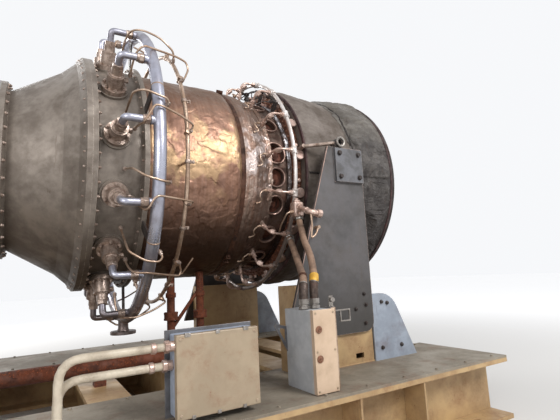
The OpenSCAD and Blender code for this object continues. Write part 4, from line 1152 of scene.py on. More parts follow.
NODE_FINISHES: dict[Finish, str] = {
    SKID_PAINT: "skid_rails skid_cross_beams front_support pedestals",
    DECK_PAINT: "deck_plates",
    CASTING: "inlet_case compressor_case_front compressor_case_rear",
    HOT_CASTING: "diffuser_case burner_case",
    DARK_CASTING: "inlet_hub manifold_brackets top_bosses exhaust_duct exhaust_cone"
                  " exhaust_struts trunnions",
    VANE_STEEL: "bellmouth guide_vanes vane_ring",
    FITTING_STEEL: "injectors tie_rods",
    SILVER_TUBE: "injector_feeds main_manifold",
    TAN_TUBE: "pilot_ring pilot_tubes pigtails",
    PALE_TUBE: "fuel_manifold",
    FOIL_COPPER: "combustor_case",
    FOIL_SILVER: "turbine_case",
    RUSTY_BAND: "clamp_band",
    PORT_STEEL: "port_case",
    PLUG_STEEL: "port_plugs",
    NOZZLE_STEEL: "fuel_nozzles hose_valve",
    COPPER_RING: "rear_flange_ring",
    DISC_STEEL: "boss_discs",
    BLANKET: "exhaust_blanket_front",
    BLANKET_DARK: "exhaust_blanket_rear",
    PLATE_STEEL: "support_plates lifting_eyes",
    PAD_STEEL: "trunnion_pads box_mounts",
    PALE_PAINT: "gussets",
    HOSE_SLEEVE: "fuel_hoses",
    CONDUIT: "conduits",
    CREAM_PAINT: "box_small box_small_cover box_large",
    RUSTY_STEEL: "drain_risers drain_header",
}


@dataclass
class FrameNodes(SubAssembly):
    """The frame's own solids, each given its finish."""

    def build(self) -> None:
        """Finish every node."""
        finishes = {name: finish for finish, names in NODE_FINISHES.items()
                    for name in names.split()}
        for name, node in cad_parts.items():
            if not node.material_slots:
                node.data.materials.append(None)
            for place in node.material_slots:
                place.material = finishes[name].material()
            LOG.info("node %s: %s", name, finishes[name].name)


@dataclass
class WrappedCase(SubAssembly):
    """A casing wrapped in metal foil that was crumpled by hand.

    Rolling, large and small are its three kinds of dents: a size and how deep they go.
    """

    name: str = "combustor_foil"
    node: str = "combustor_case"
    finish: Finish = FOIL_COPPER
    outline: Outline = (
        (0.221, 0.643), (0.24, 0.653), (0.32, 0.655), (0.6, 0.655), (0.73, 0.654), (0.746, 0.65),
        (0.758, 0.642), (0.7696, 0.632))
    wall: float = 0.04
    row: float = 0.0068
    steps: int = 460
    rolling: tuple[float, float] = (0.26, 0.012)
    large: tuple[float, float] = (0.11, 0.007)
    small: tuple[float, float] = (0.04, 0.0028)

    def build(self) -> None:
        """Wrap the casing."""
        outer = fine(self.outline, self.row)
        inner = min(r for _, r in self.outline) - self.wall
        (low, _), (high, _) = self.outline[0], self.outline[-1]
        piece = Bench.lathe([*outer, (high, inner), (low, inner)], self.steps)

        def weight(place: Vector) -> float:
            """How far the foil gives at a place."""
            radius = math.hypot(place.y, place.z - AXIS_Z)
            ends = smoothstep(place.x - low, 0, 0.02) * smoothstep(high - place.x, 0, 0.02)
            return ends * smoothstep(radius, inner + 0.004, inner + 0.02)

        group = Bench.weigh(piece, "loose", weight)
        Bench.dent(piece, Reliefs.clouds(self.rolling[0]), self.rolling[1], group)
        for size, depth in (self.large, self.small):
            Bench.dent(piece, Reliefs.creases(size), depth, group, 0.4)
        self.keep(self.name, Bench.smooth(piece, 60), self.finish, self.node)


@dataclass
class ClampBand(SubAssembly):
    """The band that draws the two wrapped casings together, with its bolted saddles."""

    x: float = 0.776
    radius: float = 0.636
    saddles: tuple[float, ...] = (62, 182, 302)

    def build(self) -> None:
        """Build the strap and the saddles."""
        r = self.radius
        strap = mirrored(((-0.015, r - 0.002), (-0.014, r + 0.003), (-0.003, r + 0.0065)))
        self.keep("band_strap", Bench.lathe(strap, 240, moved(self.x, 0, AXIS_Z)), RUSTY_BAND)
        saddle = [Bench.block((self.x - 0.014, -r - 0.03, z), (self.x + 0.014, -r, z + 0.012))
                  for z in (-0.028, 0.016)]
        saddle += [Bench.drum((self.x, -r - 0.018, low), (self.x, -r - 0.018, high), thick, sides)
                   for low, high, thick, sides in ((-0.048, 0.044, 0.005, 12),
                                                   (0.028, 0.04, 0.0095, 6))]
        self.repeat("band_saddles", saddle, self.saddles, RUSTY_BAND)


@dataclass
class ExhaustCover(SubAssembly):
    """A sewn cloth cover over the insulation of an exhaust section.

    Swell is the pressure under the cloth, growth is how much it may stretch, limit is how far a
    point may move, and frames is how long it settles. Folds are a size and a height, seams are
    the stations where it is sewn down, and the slit is the angle at which it is split.
    """

    name: str = "front_cover"
    node: str = "exhaust_blanket_front"
    finish: Finish = BLANKET
    outline: Outline = (
        (1.1675, 0.648), (1.1675, 0.712), (1.172, 0.719), (1.182, 0.722), (1.227, 0.721),
        (1.38, 0.708), (1.53, 0.696), (1.58, 0.693), (1.5895, 0.686), (1.5895, 0.648))
    inner: float = 0.6405
    row: float = 0.012
    steps: int = 360
    swell: float = 3.0
    growth: float = 0.02
    limit: float = 0.011
    frames: int = 18
    folds: tuple[float, float] = (0.1, 0.006)
    ridge: float = 0.5
    seams: tuple[float, ...] = (1.2, 1.38, 1.56)
    slit: float = -3.5

    def build(self) -> None:
        """Sew the cover, swell it and wrinkle it."""
        (low, _), (high, _) = self.outline[0], self.outline[-1]
        piece = Bench.lathe([*fine(self.outline, self.row), (high, self.inner),
                             (low, self.inner)], self.steps)
        size, height = self.folds
        group = Bench.weigh(piece, "loose", self.loose)
        Bench.dent(piece, Reliefs.clouds(size * 2, 2), height, group)
        self.settle_cloth(piece)
        Bench.apply(piece, "SUBSURF", levels=1, render_levels=1)
        group = Bench.weigh(piece, "fine", self.loose)
        Bench.dent(piece, Reliefs.ridges(size), height * self.ridge, group)
        self.keep(self.name, Bench.smooth(piece, 70), self.finish, self.node)

    def loose(self, place: Vector) -> float:
        """How free the cloth is at a place, away from its ends, its seams and its slit."""
        radius = math.hypot(place.y, place.z - AXIS_Z)
        ends = (smoothstep(place.x - self.outline[0][0], 0, 0.015)
                * smoothstep(self.outline[-1][0] - place.x, 0, 0.015))
        turn = math.degrees(math.atan2(place.z - AXIS_Z, abs(place.y)))
        sewn = min(math.radians(abs(turn - self.slit)) * radius,
                   *(abs(place.x - seam) for seam in self.seams))
        return (ends * smoothstep(radius, self.inner + 0.01, self.inner + 0.04)
                * smoothstep(sewn, 0.0, 0.02))

    def settle_cloth(self, piece: Piece) -> None:
        """Let the cloth swell over its filling between its seams, up to the limit."""
        before = [vertex.co.copy() for vertex in piece.data.vertices]
        held = Bench.weigh(piece, "held", lambda place: 1.0 - self.loose(place))
        Bench.take(piece)
        modifier = piece.modifiers.new("cloth", "CLOTH")
        put(modifier.settings, quality=4, mass=0.4, use_pressure=True,
            uniform_pressure_force=self.swell, shrink_min=-self.growth, tension_stiffness=18,
            compression_stiffness=18, shear_stiffness=8, bending_stiffness=0.6,
            vertex_group_mass=held)
        modifier.settings.effector_weights.gravity = 0
        modifier.collision_settings.use_collision = False
        for number in range(1, self.frames + 1):
            bpy.context.scene.frame_set(number)
        bpy.ops.object.modifier_apply(modifier=modifier.name)
        bpy.context.scene.frame_set(1)
        for vertex, start in zip(piece.data.vertices, before):
            move = vertex.co - start
            if move.length > self.limit:
                vertex.co = start + move.normalized() * self.limit


@dataclass
class CoverTrim(SubAssembly):
    """The dark lap and gap between the two exhaust covers, their beads and their slits; the gap
    and the slits are near-black strips of painted shadow.
    """

    lap_x: float = 1.588
    lap_radius: float = 0.7
    slit: float = -3.5

    def build(self) -> None:
        """Build the lap, the gap, the beads and the slits."""
        x, r = self.lap_x, self.lap_radius
        lap = fine([(x - 0.022, r - 0.004), (x, r), (x + 0.024, r - 0.001)], 0.006)
        lap += [(x, r - 0.006) for x, r in reversed(lap)]
        strip = Bench.lathe(lap, 420)
        front = Bench.weigh(strip, "front", lambda p: smoothstep(self.lap_x - p.x, -0.01, 0.02))
        Bench.dent(strip, Reliefs.clouds(0.05, 3), 0.075, front, way="X")
        Bench.dent(strip, Reliefs.clouds(0.07), 0.009, middle=0.35)
        self.keep("cover_lap", strip, BLANKET_DARK)
        # Painted shadow: a near-black ring stands for the shadowed gap between the covers.
        gap = Bench.lathe([(1.5835, 0.6925), (1.585, 0.7035), (1.5905, 0.7055), (1.5965, 0.7035),
                           (1.598, 0.6925)], 420)
        Bench.dent(gap, Reliefs.clouds(0.11, 3), 0.05, way="X")
        self.keep("cover_gap", gap, SLIT_SHADOW)
        bead = ((1.1675, 0.702), (1.1675, 0.719), (1.17, 0.722), (1.175, 0.7235), (1.18, 0.721),
                (1.182, 0.702))
        self.keep("cover_bead", Bench.lathe(bead, 240), EDGE_CLOTH)
        piping = ((1.8775, 0.724), (1.8785, 0.7305), (1.883, 0.7325), (1.8895, 0.732),
                  (1.8945, 0.7285), (1.8955, 0.721))
        self.keep("cover_piping", Bench.lathe(piping, 240), EDGE_CLOTH)
        line = ((1.186, 0.7225), (1.227, 0.7215), (1.38, 0.7085), (1.53, 0.6965), (1.572, 0.694))
        # Painted shadow: near-black strips stand for the shadowed slits in the front cover.
        self.keep("cover_slits", [
            Bench.tube([on_engine(x, r, angle) for x, r in line], 0.013)
            for angle in (self.slit, 180 - self.slit)], SLIT_SHADOW)


@dataclass
class PortRow(SubAssembly):
    """The raised rims of the blind ports, their plugs and the foil tucked round them."""

    x: float = 1.016
    radius: float = 0.6
    bore: float = 0.055
    large_bore: float = 0.066
    angles: tuple[float, ...] = (52, 72, 30, -6, -22.5, -42, -62, -82)
    large_angle: float = 9

    def build(self) -> None:
        """Build the rims, the plug heads and the foil strips."""
        small = [a for angle in self.angles for a in (angle, 180 - angle)]
        large = [self.large_angle, 180 - self.large_angle]
        for name, bore, angles in (("port_rims", self.bore, small),
                                   ("port_rims_large", self.large_bore, large)):
            rim = [(0.0, bore - 0.0005), (0.0105, bore - 0.0005), (0.0125, bore + 0.002),
                   (0.0125, bore + 0.006), (0.0105, bore + 0.0085), (0.0, bore + 0.0085)]
            self.keep(name, Bench.stamp(Bench.lathe(rim, 48, ORIGIN), [
                outward(self.x, self.radius, a) for a in angles]), RIM_STEEL)
        head = Bench.join([Bench.drum((0, 0, 0), (0.004, 0, 0), 0.04, 32, 0.0012),
                           Bench.drum((0.004, 0, 0), (0.016, 0, 0), 0.021, 6, 0.002)])
        self.keep("port_plug_heads", Bench.stamp(head, [
            outward(self.x, self.radius - 0.03, a) for a in small + large]), PLUG_STEEL)
        self.tucked_foil("port_foil_front", (0.956, 0.986), 0.614, 0.03, FOIL_SILVER)
        self.tucked_foil("port_foil_rear", (1.096, 1.124), 0.617, 0.012, FOIL_STRIP)

    def tucked_foil(self, name: str, ends: tuple[float, float], radius: float, ragged: float,
                    finish: Finish) -> None:
        """A crumpled strip of foil with a torn edge.

        Args:
            name: The strip's name.
            ends: Stations of its front and rear edges.
            radius: Its radius.
            ragged: How deep its torn edge goes.
            finish: Its foil.
        """
        low, high = ends
        outer = fine([(low, radius), (high, radius)], 0.004)
        strip = Bench.lathe([*outer, (high, radius - 0.01), (low, radius - 0.01)], 520)
        edge = Bench.weigh(strip, "edge", lambda p: smoothstep(p.x, low + 0.006, high))
        Bench.dent(strip, Reliefs.clouds(0.03, 3), ragged, edge, way="X")
        Bench.dent(strip, Reliefs.creases(0.025), 0.008, middle=0.35)
        Bench.dent(strip, Reliefs.clouds(0.05, 2), 0.01, middle=0.4)
        self.keep(name, strip, finish)


NOZZLES = evenly(18, 6.0)
INJECTORS = evenly(14, 6.0)


@dataclass
class TurbineFuel(SubAssembly):
    """The off-white fuel ring of the turbine casing, with its nozzle lines."""

    x: float = 1.066
    radius: float = 0.748
    nozzle_x: float = 0.948
    bend: float = 0.08

    def build(self) -> None:
        """Build the nozzle lines, the ring's fittings and the pigtails."""
        self.nozzles()
        x, r, at = self.x, self.radius, self.nozzle_x
        bead = mirrored(((-0.024, 0.0125), (-0.0235, 0.0175), (-0.021, 0.0195), (-0.017, 0.0195),
                         (-0.014, 0.0175)))
        self.repeat("tee_beads", [Bench.sleeve(bead, x, r, 24),
                                  Bench.axle(x, x - 0.019, r, 0.0165, 24, 0.0015)],
                    NOZZLES, PALE_TUBE)
        self.repeat("nozzle_feet", [Bench.spoke(at, 0.606, 0.617, 0.022, 6),
                                    Bench.spoke(at, 0.617, 0.623, 0.014, 20)],
                    NOZZLES, FITTING_STEEL)
        self.pigtails()

    def nozzles(self) -> None:
        """The lines that leave the tees along the engine and bend in to the nozzles."""
        x, r, at = self.x, self.radius, self.nozzle_x
        inward = self.bend * (1 - math.sqrt(0.5))
        turn, way = Vector((at + inward, inward - r, 0)), Vector((-1, 1, 0)).normalized()
        self.repeat("nozzle_lines", [
            Bench.tube([(x - 0.018, -r, 0), (at, -r, 0), (at, -0.612, 0)], 0.015, self.bend, 16),
            Bench.axle(x - 0.019, x - 0.035, r, 0.0165, 6, 0.0015),
            Bench.axle(x - 0.035, x - 0.045, r, 0.011, 20),
            Bench.drum(turn - way * 0.014, turn + way * 0.014, 0.0175, 6, 0.0015),
            Bench.drum(turn + way * 0.014, turn + way * 0.021, 0.0125, 20),
            Bench.spoke(at, 0.662, 0.632, 0.0135, 24, 0.0015),
            Bench.spoke(at, 0.674, 0.661, 0.0155, 6, 0.0015),
            Bench.axle(at, 0.93, 0.647, 0.0095, 16)], NOZZLES, NOZZLE_STEEL, "fuel_nozzles")

    def pigtails(self) -> None:
        """The thin lines that curl from the knees, with their nuts and caps."""
        route = ((0.935, 0.647, 0.0), (0.915, 0.6475, 0.0), (0.903, 0.651, -0.2),
                 (0.884, 0.657, -1.1), (0.878, 0.658, -2.6), (0.885, 0.657, -4.2),
                 (0.899, 0.652, -5.3), (0.893, 0.647, -6.4), (0.872, 0.649, -7.0),
                 (0.8655, 0.645, -7.3))
        master = Bench.join([
            Bench.tube([on_engine(*place) for place in route], 0.008, 0.02),
            Bench.drum(on_engine(0.925, 0.647, 0), on_engine(0.908, 0.6492, -0.1), 0.0085, 6),
            Bench.drum(on_engine(0.874, 0.6485, -6.9), on_engine(*route[-1]), 0.0075, 6)])
        back = moved(0, 0, -AXIS_Z)
        self.keep("pigtail_lines", Bench.stamp(master, [around(a) @ back for a in NOZZLES]),
                  TAN_TUBE, "pigtails")


@dataclass
class RearRing(SubAssembly):
    """The rear ring's caps, bosses, bolts and studs."""

    x: float = 1.146
    radius: float = 0.66
    top: float = 0.7

    def build(self) -> None:
        """Build the caps, the bosses, the bolts and the studs."""
        cap = ((0.0, 0.0), (0.0, 0.03), (0.004, 0.032), (0.013, 0.032), (0.0165, 0.029),
               (0.0175, 0.0))
        self.keep("boss_caps", Bench.stamp(
            Bench.lathe(cap, 32, moved(-0.016, 0, 0), closed=False),
            [outward(self.x - 0.007, self.top, a) for a in NOZZLES]), DISC_STEEL)
        boss = ((-0.006, 0.0), (-0.006, 0.009), (0.011, 0.009), (0.012, 0.011), (0.017, 0.011),
                (0.018, 0.009), (0.018, 0.0))
        self.keep("rear_ring_bosses", Bench.stamp(
            Bench.lathe(boss, 20, ORIGIN, closed=False),
            [outward(self.x - 0.006, self.radius, a + 6.6) for a in NOZZLES]), NOZZLE_STEEL)
        self.bolts("rear_ring_bolts", 0.017, [
            outward(self.x, self.radius, a + step)
            for a in NOZZLES for step in (3.6, 10.0, 13.2, 16.4)], 0.004, COPPER_RING)
        self.bolts("rear_ring_studs", 0.013, [
            endways(1.125, 0.638, a + 2 + 4 * i, False)
            for a in NOZZLES for i in range(5)], 0.003, COPPER_RING)


@dataclass
class MainFuel(SubAssembly):
    """The large silver manifold, its welds, its injector feeds and the injectors' bolts."""

    x: float = 0.22
    radius: float = 0.88
    injector: float = 0.06

    def build(self) -> None:
        """Build the ring, the feeds, the bolts and the welds."""
        self.ring()
        self.feeds()
        self.injector_bolts()
        weld = mirrored(((-0.004, 0.0305), (-0.002, 0.0325)))
        self.repeat("manifold_welds", [Bench.sleeve(weld, self.x, self.radius, 32)],
                    [a + 360 / 28 for a in evenly(7, 6.0)], TAN_TUBE, slot="manifold_steel")

    def ring(self) -> None:
        """The ring tube with its stubs and its supply flange."""
        x, r, neck = self.x, self.radius, AXIS_Z - self.radius
        stub = Bench.join([
            Bench.axle(0.175, x, r, 0.022, 28),
            *(Bench.lathe(bead, 28, moved(0, -r, 0)) for bead in (
                ((0.19, 0.0215), (0.1935, 0.0245), (0.1975, 0.0255), (0.2, 0.0215)),
                ((0.1755, 0.0215), (0.1765, 0.024), (0.1805, 0.024), (0.1815, 0.0215))))])
        flange = ((0.0, 0.024), (0.0, 0.073), (0.002, 0.075), (0.018, 0.075), (0.02, 0.073),
                  (0.02, 0.036), (0.034, 0.031), (0.05, 0.03), (0.05, 0.024))
        self.keep("manifold_tube", [
            Bench.hoop(x, r, 0.062, 220, 20), Bench.stamp(stub, map(around, INJECTORS)),
            Bench.drum((x, 0, neck), (x, 0, neck - 0.076), 0.03, 32),
            Bench.lathe(flange, 48, moved(x, 0, neck - 0.096) @ turned(-90, "Y"))],
            SILVER_TUBE, "main_manifold")

    def feeds(self) -> None:
        """The bent tubes from the manifold to the injectors, with their nuts."""
        at, r = self.injector, self.radius
        route = [(x, -high, 0) for x, high in ((0.178, r), (0.118, r), (at, r), (at, 0.83),
                                               (at, 0.797))]
        self.repeat("feed_tubes", [Bench.tube(route, 0.036, 0.05, 18)], INJECTORS, SILVER_TUBE,
                    "injector_feeds")
        self.repeat("feed_nuts", [
            Bench.spoke(at, 0.797, 0.822, 0.0285, 6, 0.002),
            Bench.axle(0.15, 0.174, r, 0.0265, 6, 0.002),
            Bench.axle(0.138, 0.151, r, 0.0215)], INJECTORS, FITTING_STEEL,
            slot="manifold_steel")

    def injector_bolts(self) -> None:
        """Bolts on the injectors' flanges and the nuts at their sides."""
        at, away = self.injector, 0.053
        ways = [math.radians(turn) for turn in range(30, 390, 60)]
        self.repeat("injector_bolts", [
            Bench.stamp(Bench.bolt(0.019, 0.006), [
                sideways(at + away * math.cos(way), 0.689, away * math.sin(way))
                for way in ways]),
            Bench.axle(0.106, 0.122, 0.735, 0.0155, 6),
            Bench.spoke(at, 0.758, 0.766, 0.036, 8, 0.002)], INJECTORS, FITTING_STEEL,
            slot="manifold_steel")


class TubeRun(Enum):
    """The pilot and drain tubes, each as points of station, radius and angle."""

    UPPER = ((0.383, 0.80, 46.3), (0.383, 0.835, 46.3), (0.372, 0.868, 46.5), (0.30, 0.915, 48.6),
             (0.208, 0.93, 50.9), (0.15, 0.91, 53.2), (0.1275, 0.83, 55.4), (0.1275, 0.755, 57.2))
    HAIRPIN = ((0.383, 0.80, 30.1), (0.392, 0.822, 30.1), (0.405, 0.822, 31.4),
               (0.436, 0.832, 36.6), (0.424, 0.86, 38.6), (0.36, 0.884, 37.9),
               (0.166, 0.93, 34.5), (0.135, 0.88, 33.6), (0.1275, 0.80, 32.6),
               (0.1275, 0.755, 31.9))
    LOOP = ((0.383, 0.80, 5.9), (0.392, 0.815, 5.9), (0.404, 0.84, 7.7), (0.33, 0.885, 8.6),
            (0.225, 0.925, 9.6), (0.19, 0.925, 9.9), (0.146, 0.90, 4.6), (0.1275, 0.82, 5.2),
            (0.1275, 0.755, 6.0))
    DIP = ((0.383, 0.80, -20.4), (0.395, 0.818, -20.4), (0.412, 0.824, -19.6),
           (0.39, 0.85, -19.0), (0.197, 0.925, -17.0), (0.166, 0.912, -22.2),
           (0.1275, 0.83, -20.6), (0.1275, 0.755, -19.7))
    FORKED = ((0.383, 0.80, -44.8), (0.396, 0.815, -44.6), (0.414, 0.828, -48.2),
              (0.404, 0.845, -49.3), (0.30, 0.89, -45.3), (0.203, 0.925, -42.1),
              (0.145, 0.90, -43.4), (0.1275, 0.82, -44.8), (0.1275, 0.755, -45.4))
    DRAIN_HIGH = ((0.251, 0.885, 11.2), (0.262, 0.905, 11.9), (0.247, 0.925, 12.6),
                  (0.14, 0.93, 14.2), (0.1, 0.88, 15.0), (0.1, 0.665, 15.6))
    DRAIN_MIDDLE = ((0.25, 0.885, -13.6), (0.265, 0.90, -13.1), (0.235, 0.92, -12.9),
                    (0.148, 0.92, -11.8), (0.1, 0.87, -9.6), (0.1, 0.665, -8.6))
    DRAIN_LOW = ((0.251, 0.88, -35.6), (0.27, 0.91, -37.0), (0.252, 0.92, -38.4),
                 (0.188, 0.92, -37.9), (0.11, 0.88, -36.0), (0.1, 0.665, -34.6))

    def route(self, shift: float = 0.0) -> list[Vector]:
        """The run's points on the engine, turned by an angle."""
        return [on_engine(x, r, a + shift) for x, r, a in self.value]


@dataclass
class PilotFuel(SubAssembly):
    """The pilot ring's tubes, nuts and clamps."""

    x: float = 0.383
    radius: float = 0.795
    tube: float = 0.011
    clamps: tuple[float, ...] = (-5.1, 20.0, 85, 120, 150, 175, 205, 235, 265, 300, 330)

    def build(self) -> None:
        """Build the tubes with their nuts and the ring's clamps."""
        seen = {31: TubeRun.HAIRPIN, 6: TubeRun.LOOP, 340: TubeRun.DIP, 314: TubeRun.FORKED,
                57: TubeRun.UPPER}
        routes = [seen[int(a)].route() if int(a) in seen else TubeRun.LOOP.route(a - INJECTORS[0])
                  for a in INJECTORS]
        drains = [run.route() for run in (TubeRun.DRAIN_HIGH, TubeRun.DRAIN_MIDDLE,
                                          TubeRun.DRAIN_LOW)]
        fork = on_engine(0.424, 0.83, -49.4)
        branch = [fork, on_engine(0.44, 0.825, -46.5), on_engine(0.468, 0.81, -42.8)]
        self.keep("pilot_lines", [
            *(Bench.tube(route, self.tube, 0.035) for route in routes),
            *(Bench.tube(route, self.tube, 0.025) for route in drains),
            Bench.tube(branch, 0.009, 0.02),
            Bench.tube([on_engine(0.408, 0.835, -48.9), fork], 0.009)], TAN_TUBE, "pilot_tubes")
        nuts = [nut for route in routes + drains for nut in (
            *self.end_nut(route[0], route[1]), *self.end_nut(route[-1], route[-2]))]
        self.keep("pilot_nuts", nuts, FITTING_STEEL)
        x, r = self.x, self.radius
        clip = mirrored(((-0.009, 0.0112), (-0.009, 0.0145), (-0.007, 0.0155)))
        self.repeat("pilot_clamps", [
            Bench.sleeve(clip, x, r, 20),
            Bench.block((x + 0.008, -r - 0.002, -0.0085), (x + 0.034, 0.002 - r, 0.0085), 0.001),
            Bench.stamp(Bench.bolt(0.014, 0.003), [sideways(x + 0.026, r + 0.002, 0)])],
            self.clamps, FITTING_STEEL)

    @staticmethod
    def end_nut(end: Vector, inner: Vector) -> list[Piece]:
        """The nut and its neck at an end of a tube that runs on to an inner point."""
        way = (inner - end).normalized()
        start = end + way * 0.004
        return [Bench.drum(start, start + way * 0.017, 0.0115, 6),
                Bench.drum(start + way * 0.017, start + way * 0.026, 0.0085, 12)]


@dataclass
class ColdEnd(SubAssembly):
    """Bolts and vane levers of the inlet, compressor, diffuser and burner casings.

    Flanges are a station, a bolt circle's radius, a bolt size and a count.
    """

    flanges: tuple[tuple[float, float, float, int], ...] = (
        (-1.45, 0.462, 0.021, 36), (-0.9, 0.462, 0.021, 36), (-0.45, 0.482, 0.021, 36),
        (-0.05, 0.68, 0.019, 60))
    vane_rows: tuple[float, ...] = (-1.34, -1.27, -1.07, -1.0)

    def build(self) -> None:
        """Build the flange bolts, the split flanges' bolts and the vane levers."""
        for index, (x, radius, size, count) in enumerate(self.flanges):
            places = [endways(x + (0.025 if rearward else -0.025), radius, a, rearward)
                      for rearward in (True, False) for a in evenly(count, 3)]
            self.bolts(f"flange_bolts_{index}", size, places, 0.007, FITTING_STEEL, "casting")
        self.bolts("mouth_bolts", 0.026, [endways(-1.808, 0.63, a) for a in evenly(12, 30)])
        self.bolts("burner_rear_bolts", 0.016, [endways(0.195, 0.676, a, False)
                                                for a in evenly(56, 2)],
                   0.005, FITTING_STEEL, "rusty_steel")
        self.bolts("split_bolts", 0.019, [
            moved(low + (high - low) * index / count, side.value * radius, AXIS_Z + top * 0.022)
            @ turned(-90 * top, "Y") for side in Side
            for low, high, radius, count in ((-1.395, -0.95, 0.452, 7), (-0.845, -0.5, 0.4615, 6))
            for index in range(count + 1) for top in (-1, 1)], 0.006)
        for index, x in enumerate(self.vane_rows):
            self.levers(index, x)

    def levers(self, index: int, x: float) -> None:
        """The short levers that set a row of guide vanes, and the band that links them."""
        pin = x + 0.039
        self.repeat(f"vane_levers_{index}", [
            Bench.spoke(x, 0.43, 0.452, 0.0085, 12), Bench.spoke(x, 0.448, 0.458, 0.0105, 6),
            Bench.block((x - 0.006, -0.452, -0.007), (x + 0.045, -0.447, 0.007), 0.0015),
            Bench.spoke(pin, 0.444, 0.46, 0.0045, 10)], evenly(40, 4.5), VANE_STEEL)
        self.keep(f"lever_band_{index}", [
            Bench.tube([on_engine(pin, 0.4605, start + 4.857 * i) for i in range(36)], 0.0085)
            for start in (5, 185)], FITTING_STEEL, slot="vane_steel")


@dataclass
class EngineSupports(SubAssembly):
    """Bolts, welds and painted edge highlights of the support plates, pads, eyes, pedestals and
    gussets.
    """

    pad_bolts: tuple[tuple[float, float], ...] = (
        (1.312, 1.457), (1.312, 1.603), (1.458, 1.457), (1.458, 1.603))
    plate_bolts: tuple[tuple[float, float], ...] = (
        (1.436, 0.748), (1.445, 0.684), (1.365, 0.664), (1.433, 0.579), (1.05, 0.64), (1.0, 0.6))
    gusset_bolts: tuple[tuple[float, float], ...] = (
        (1.578, 0.69), (1.625, 0.681), (1.56, 0.42), (1.72, 0.42))

    def build(self) -> None:
        """Build the supports' details on both sides."""
        rim = Bench.lathe(((0.0, 0.021), (0.0, 0.032), (0.002, 0.0335), (0.008, 0.0335),
                           (0.011, 0.031), (0.011, 0.024), (0.009, 0.021)), 40, ORIGIN)
        self.keep("eye_rims", Bench.stamp(rim, [sideways(1.323, 0.8705, 1.673, side)
                                                for side in Side]),
                  BRIGHT_STEEL, slot="plate_steel")
        # Pale strips along the plates' edges, a painted highlight of the lit edge.
        edges = [Bench.tube([(1.2385, side.value * 0.8485, 1.6425),
                             (0.8815, side.value * 0.8485, 0.5325)], 0.0065) for side in Side]
        self.keep("plate_edge_highlights", edges, LIT_EDGE_PAINT)
        self.bolts("pad_bolts", 0.027, self.spread(self.pad_bolts, 0.87), 0.0, DARK_CASTING,
                   "plate_steel")
        self.bolts("plate_bolts", 0.021, self.spread(self.plate_bolts, 0.85)
                   + self.spread(self.gusset_bolts, 0.842), 0.004, DARK_CASTING, "plate_steel")
        beads = []
        for y in (-0.851, 0.851):
            pad = [(x, y, z) for x, z in ((1.279, 1.424), (1.491, 1.424), (1.491, 1.636),
                                          (1.279, 1.636), (1.279, 1.424))]
            foot = [(1.5, math.copysign(0.829, y), z) for z in (0.36, 0.735)]
            beads += [Bench.tube(run, 0.008, 0.004, 8) for run in (pad, foot)]
        self.keep("support_welds", Bench.apply(
            Bench.join(beads), "SUBSURF", levels=1, render_levels=1,
            subdivision_type="SIMPLE"), PLATE_STEEL)

    @staticmethod
    def spread(spots: Iterable[tuple[float, float]], y: float) -> list[Matrix]:
        """Places at these stations and heights on both sides, facing out."""
        return [sideways(x, y, z, side) for side in Side for x, z in spots]


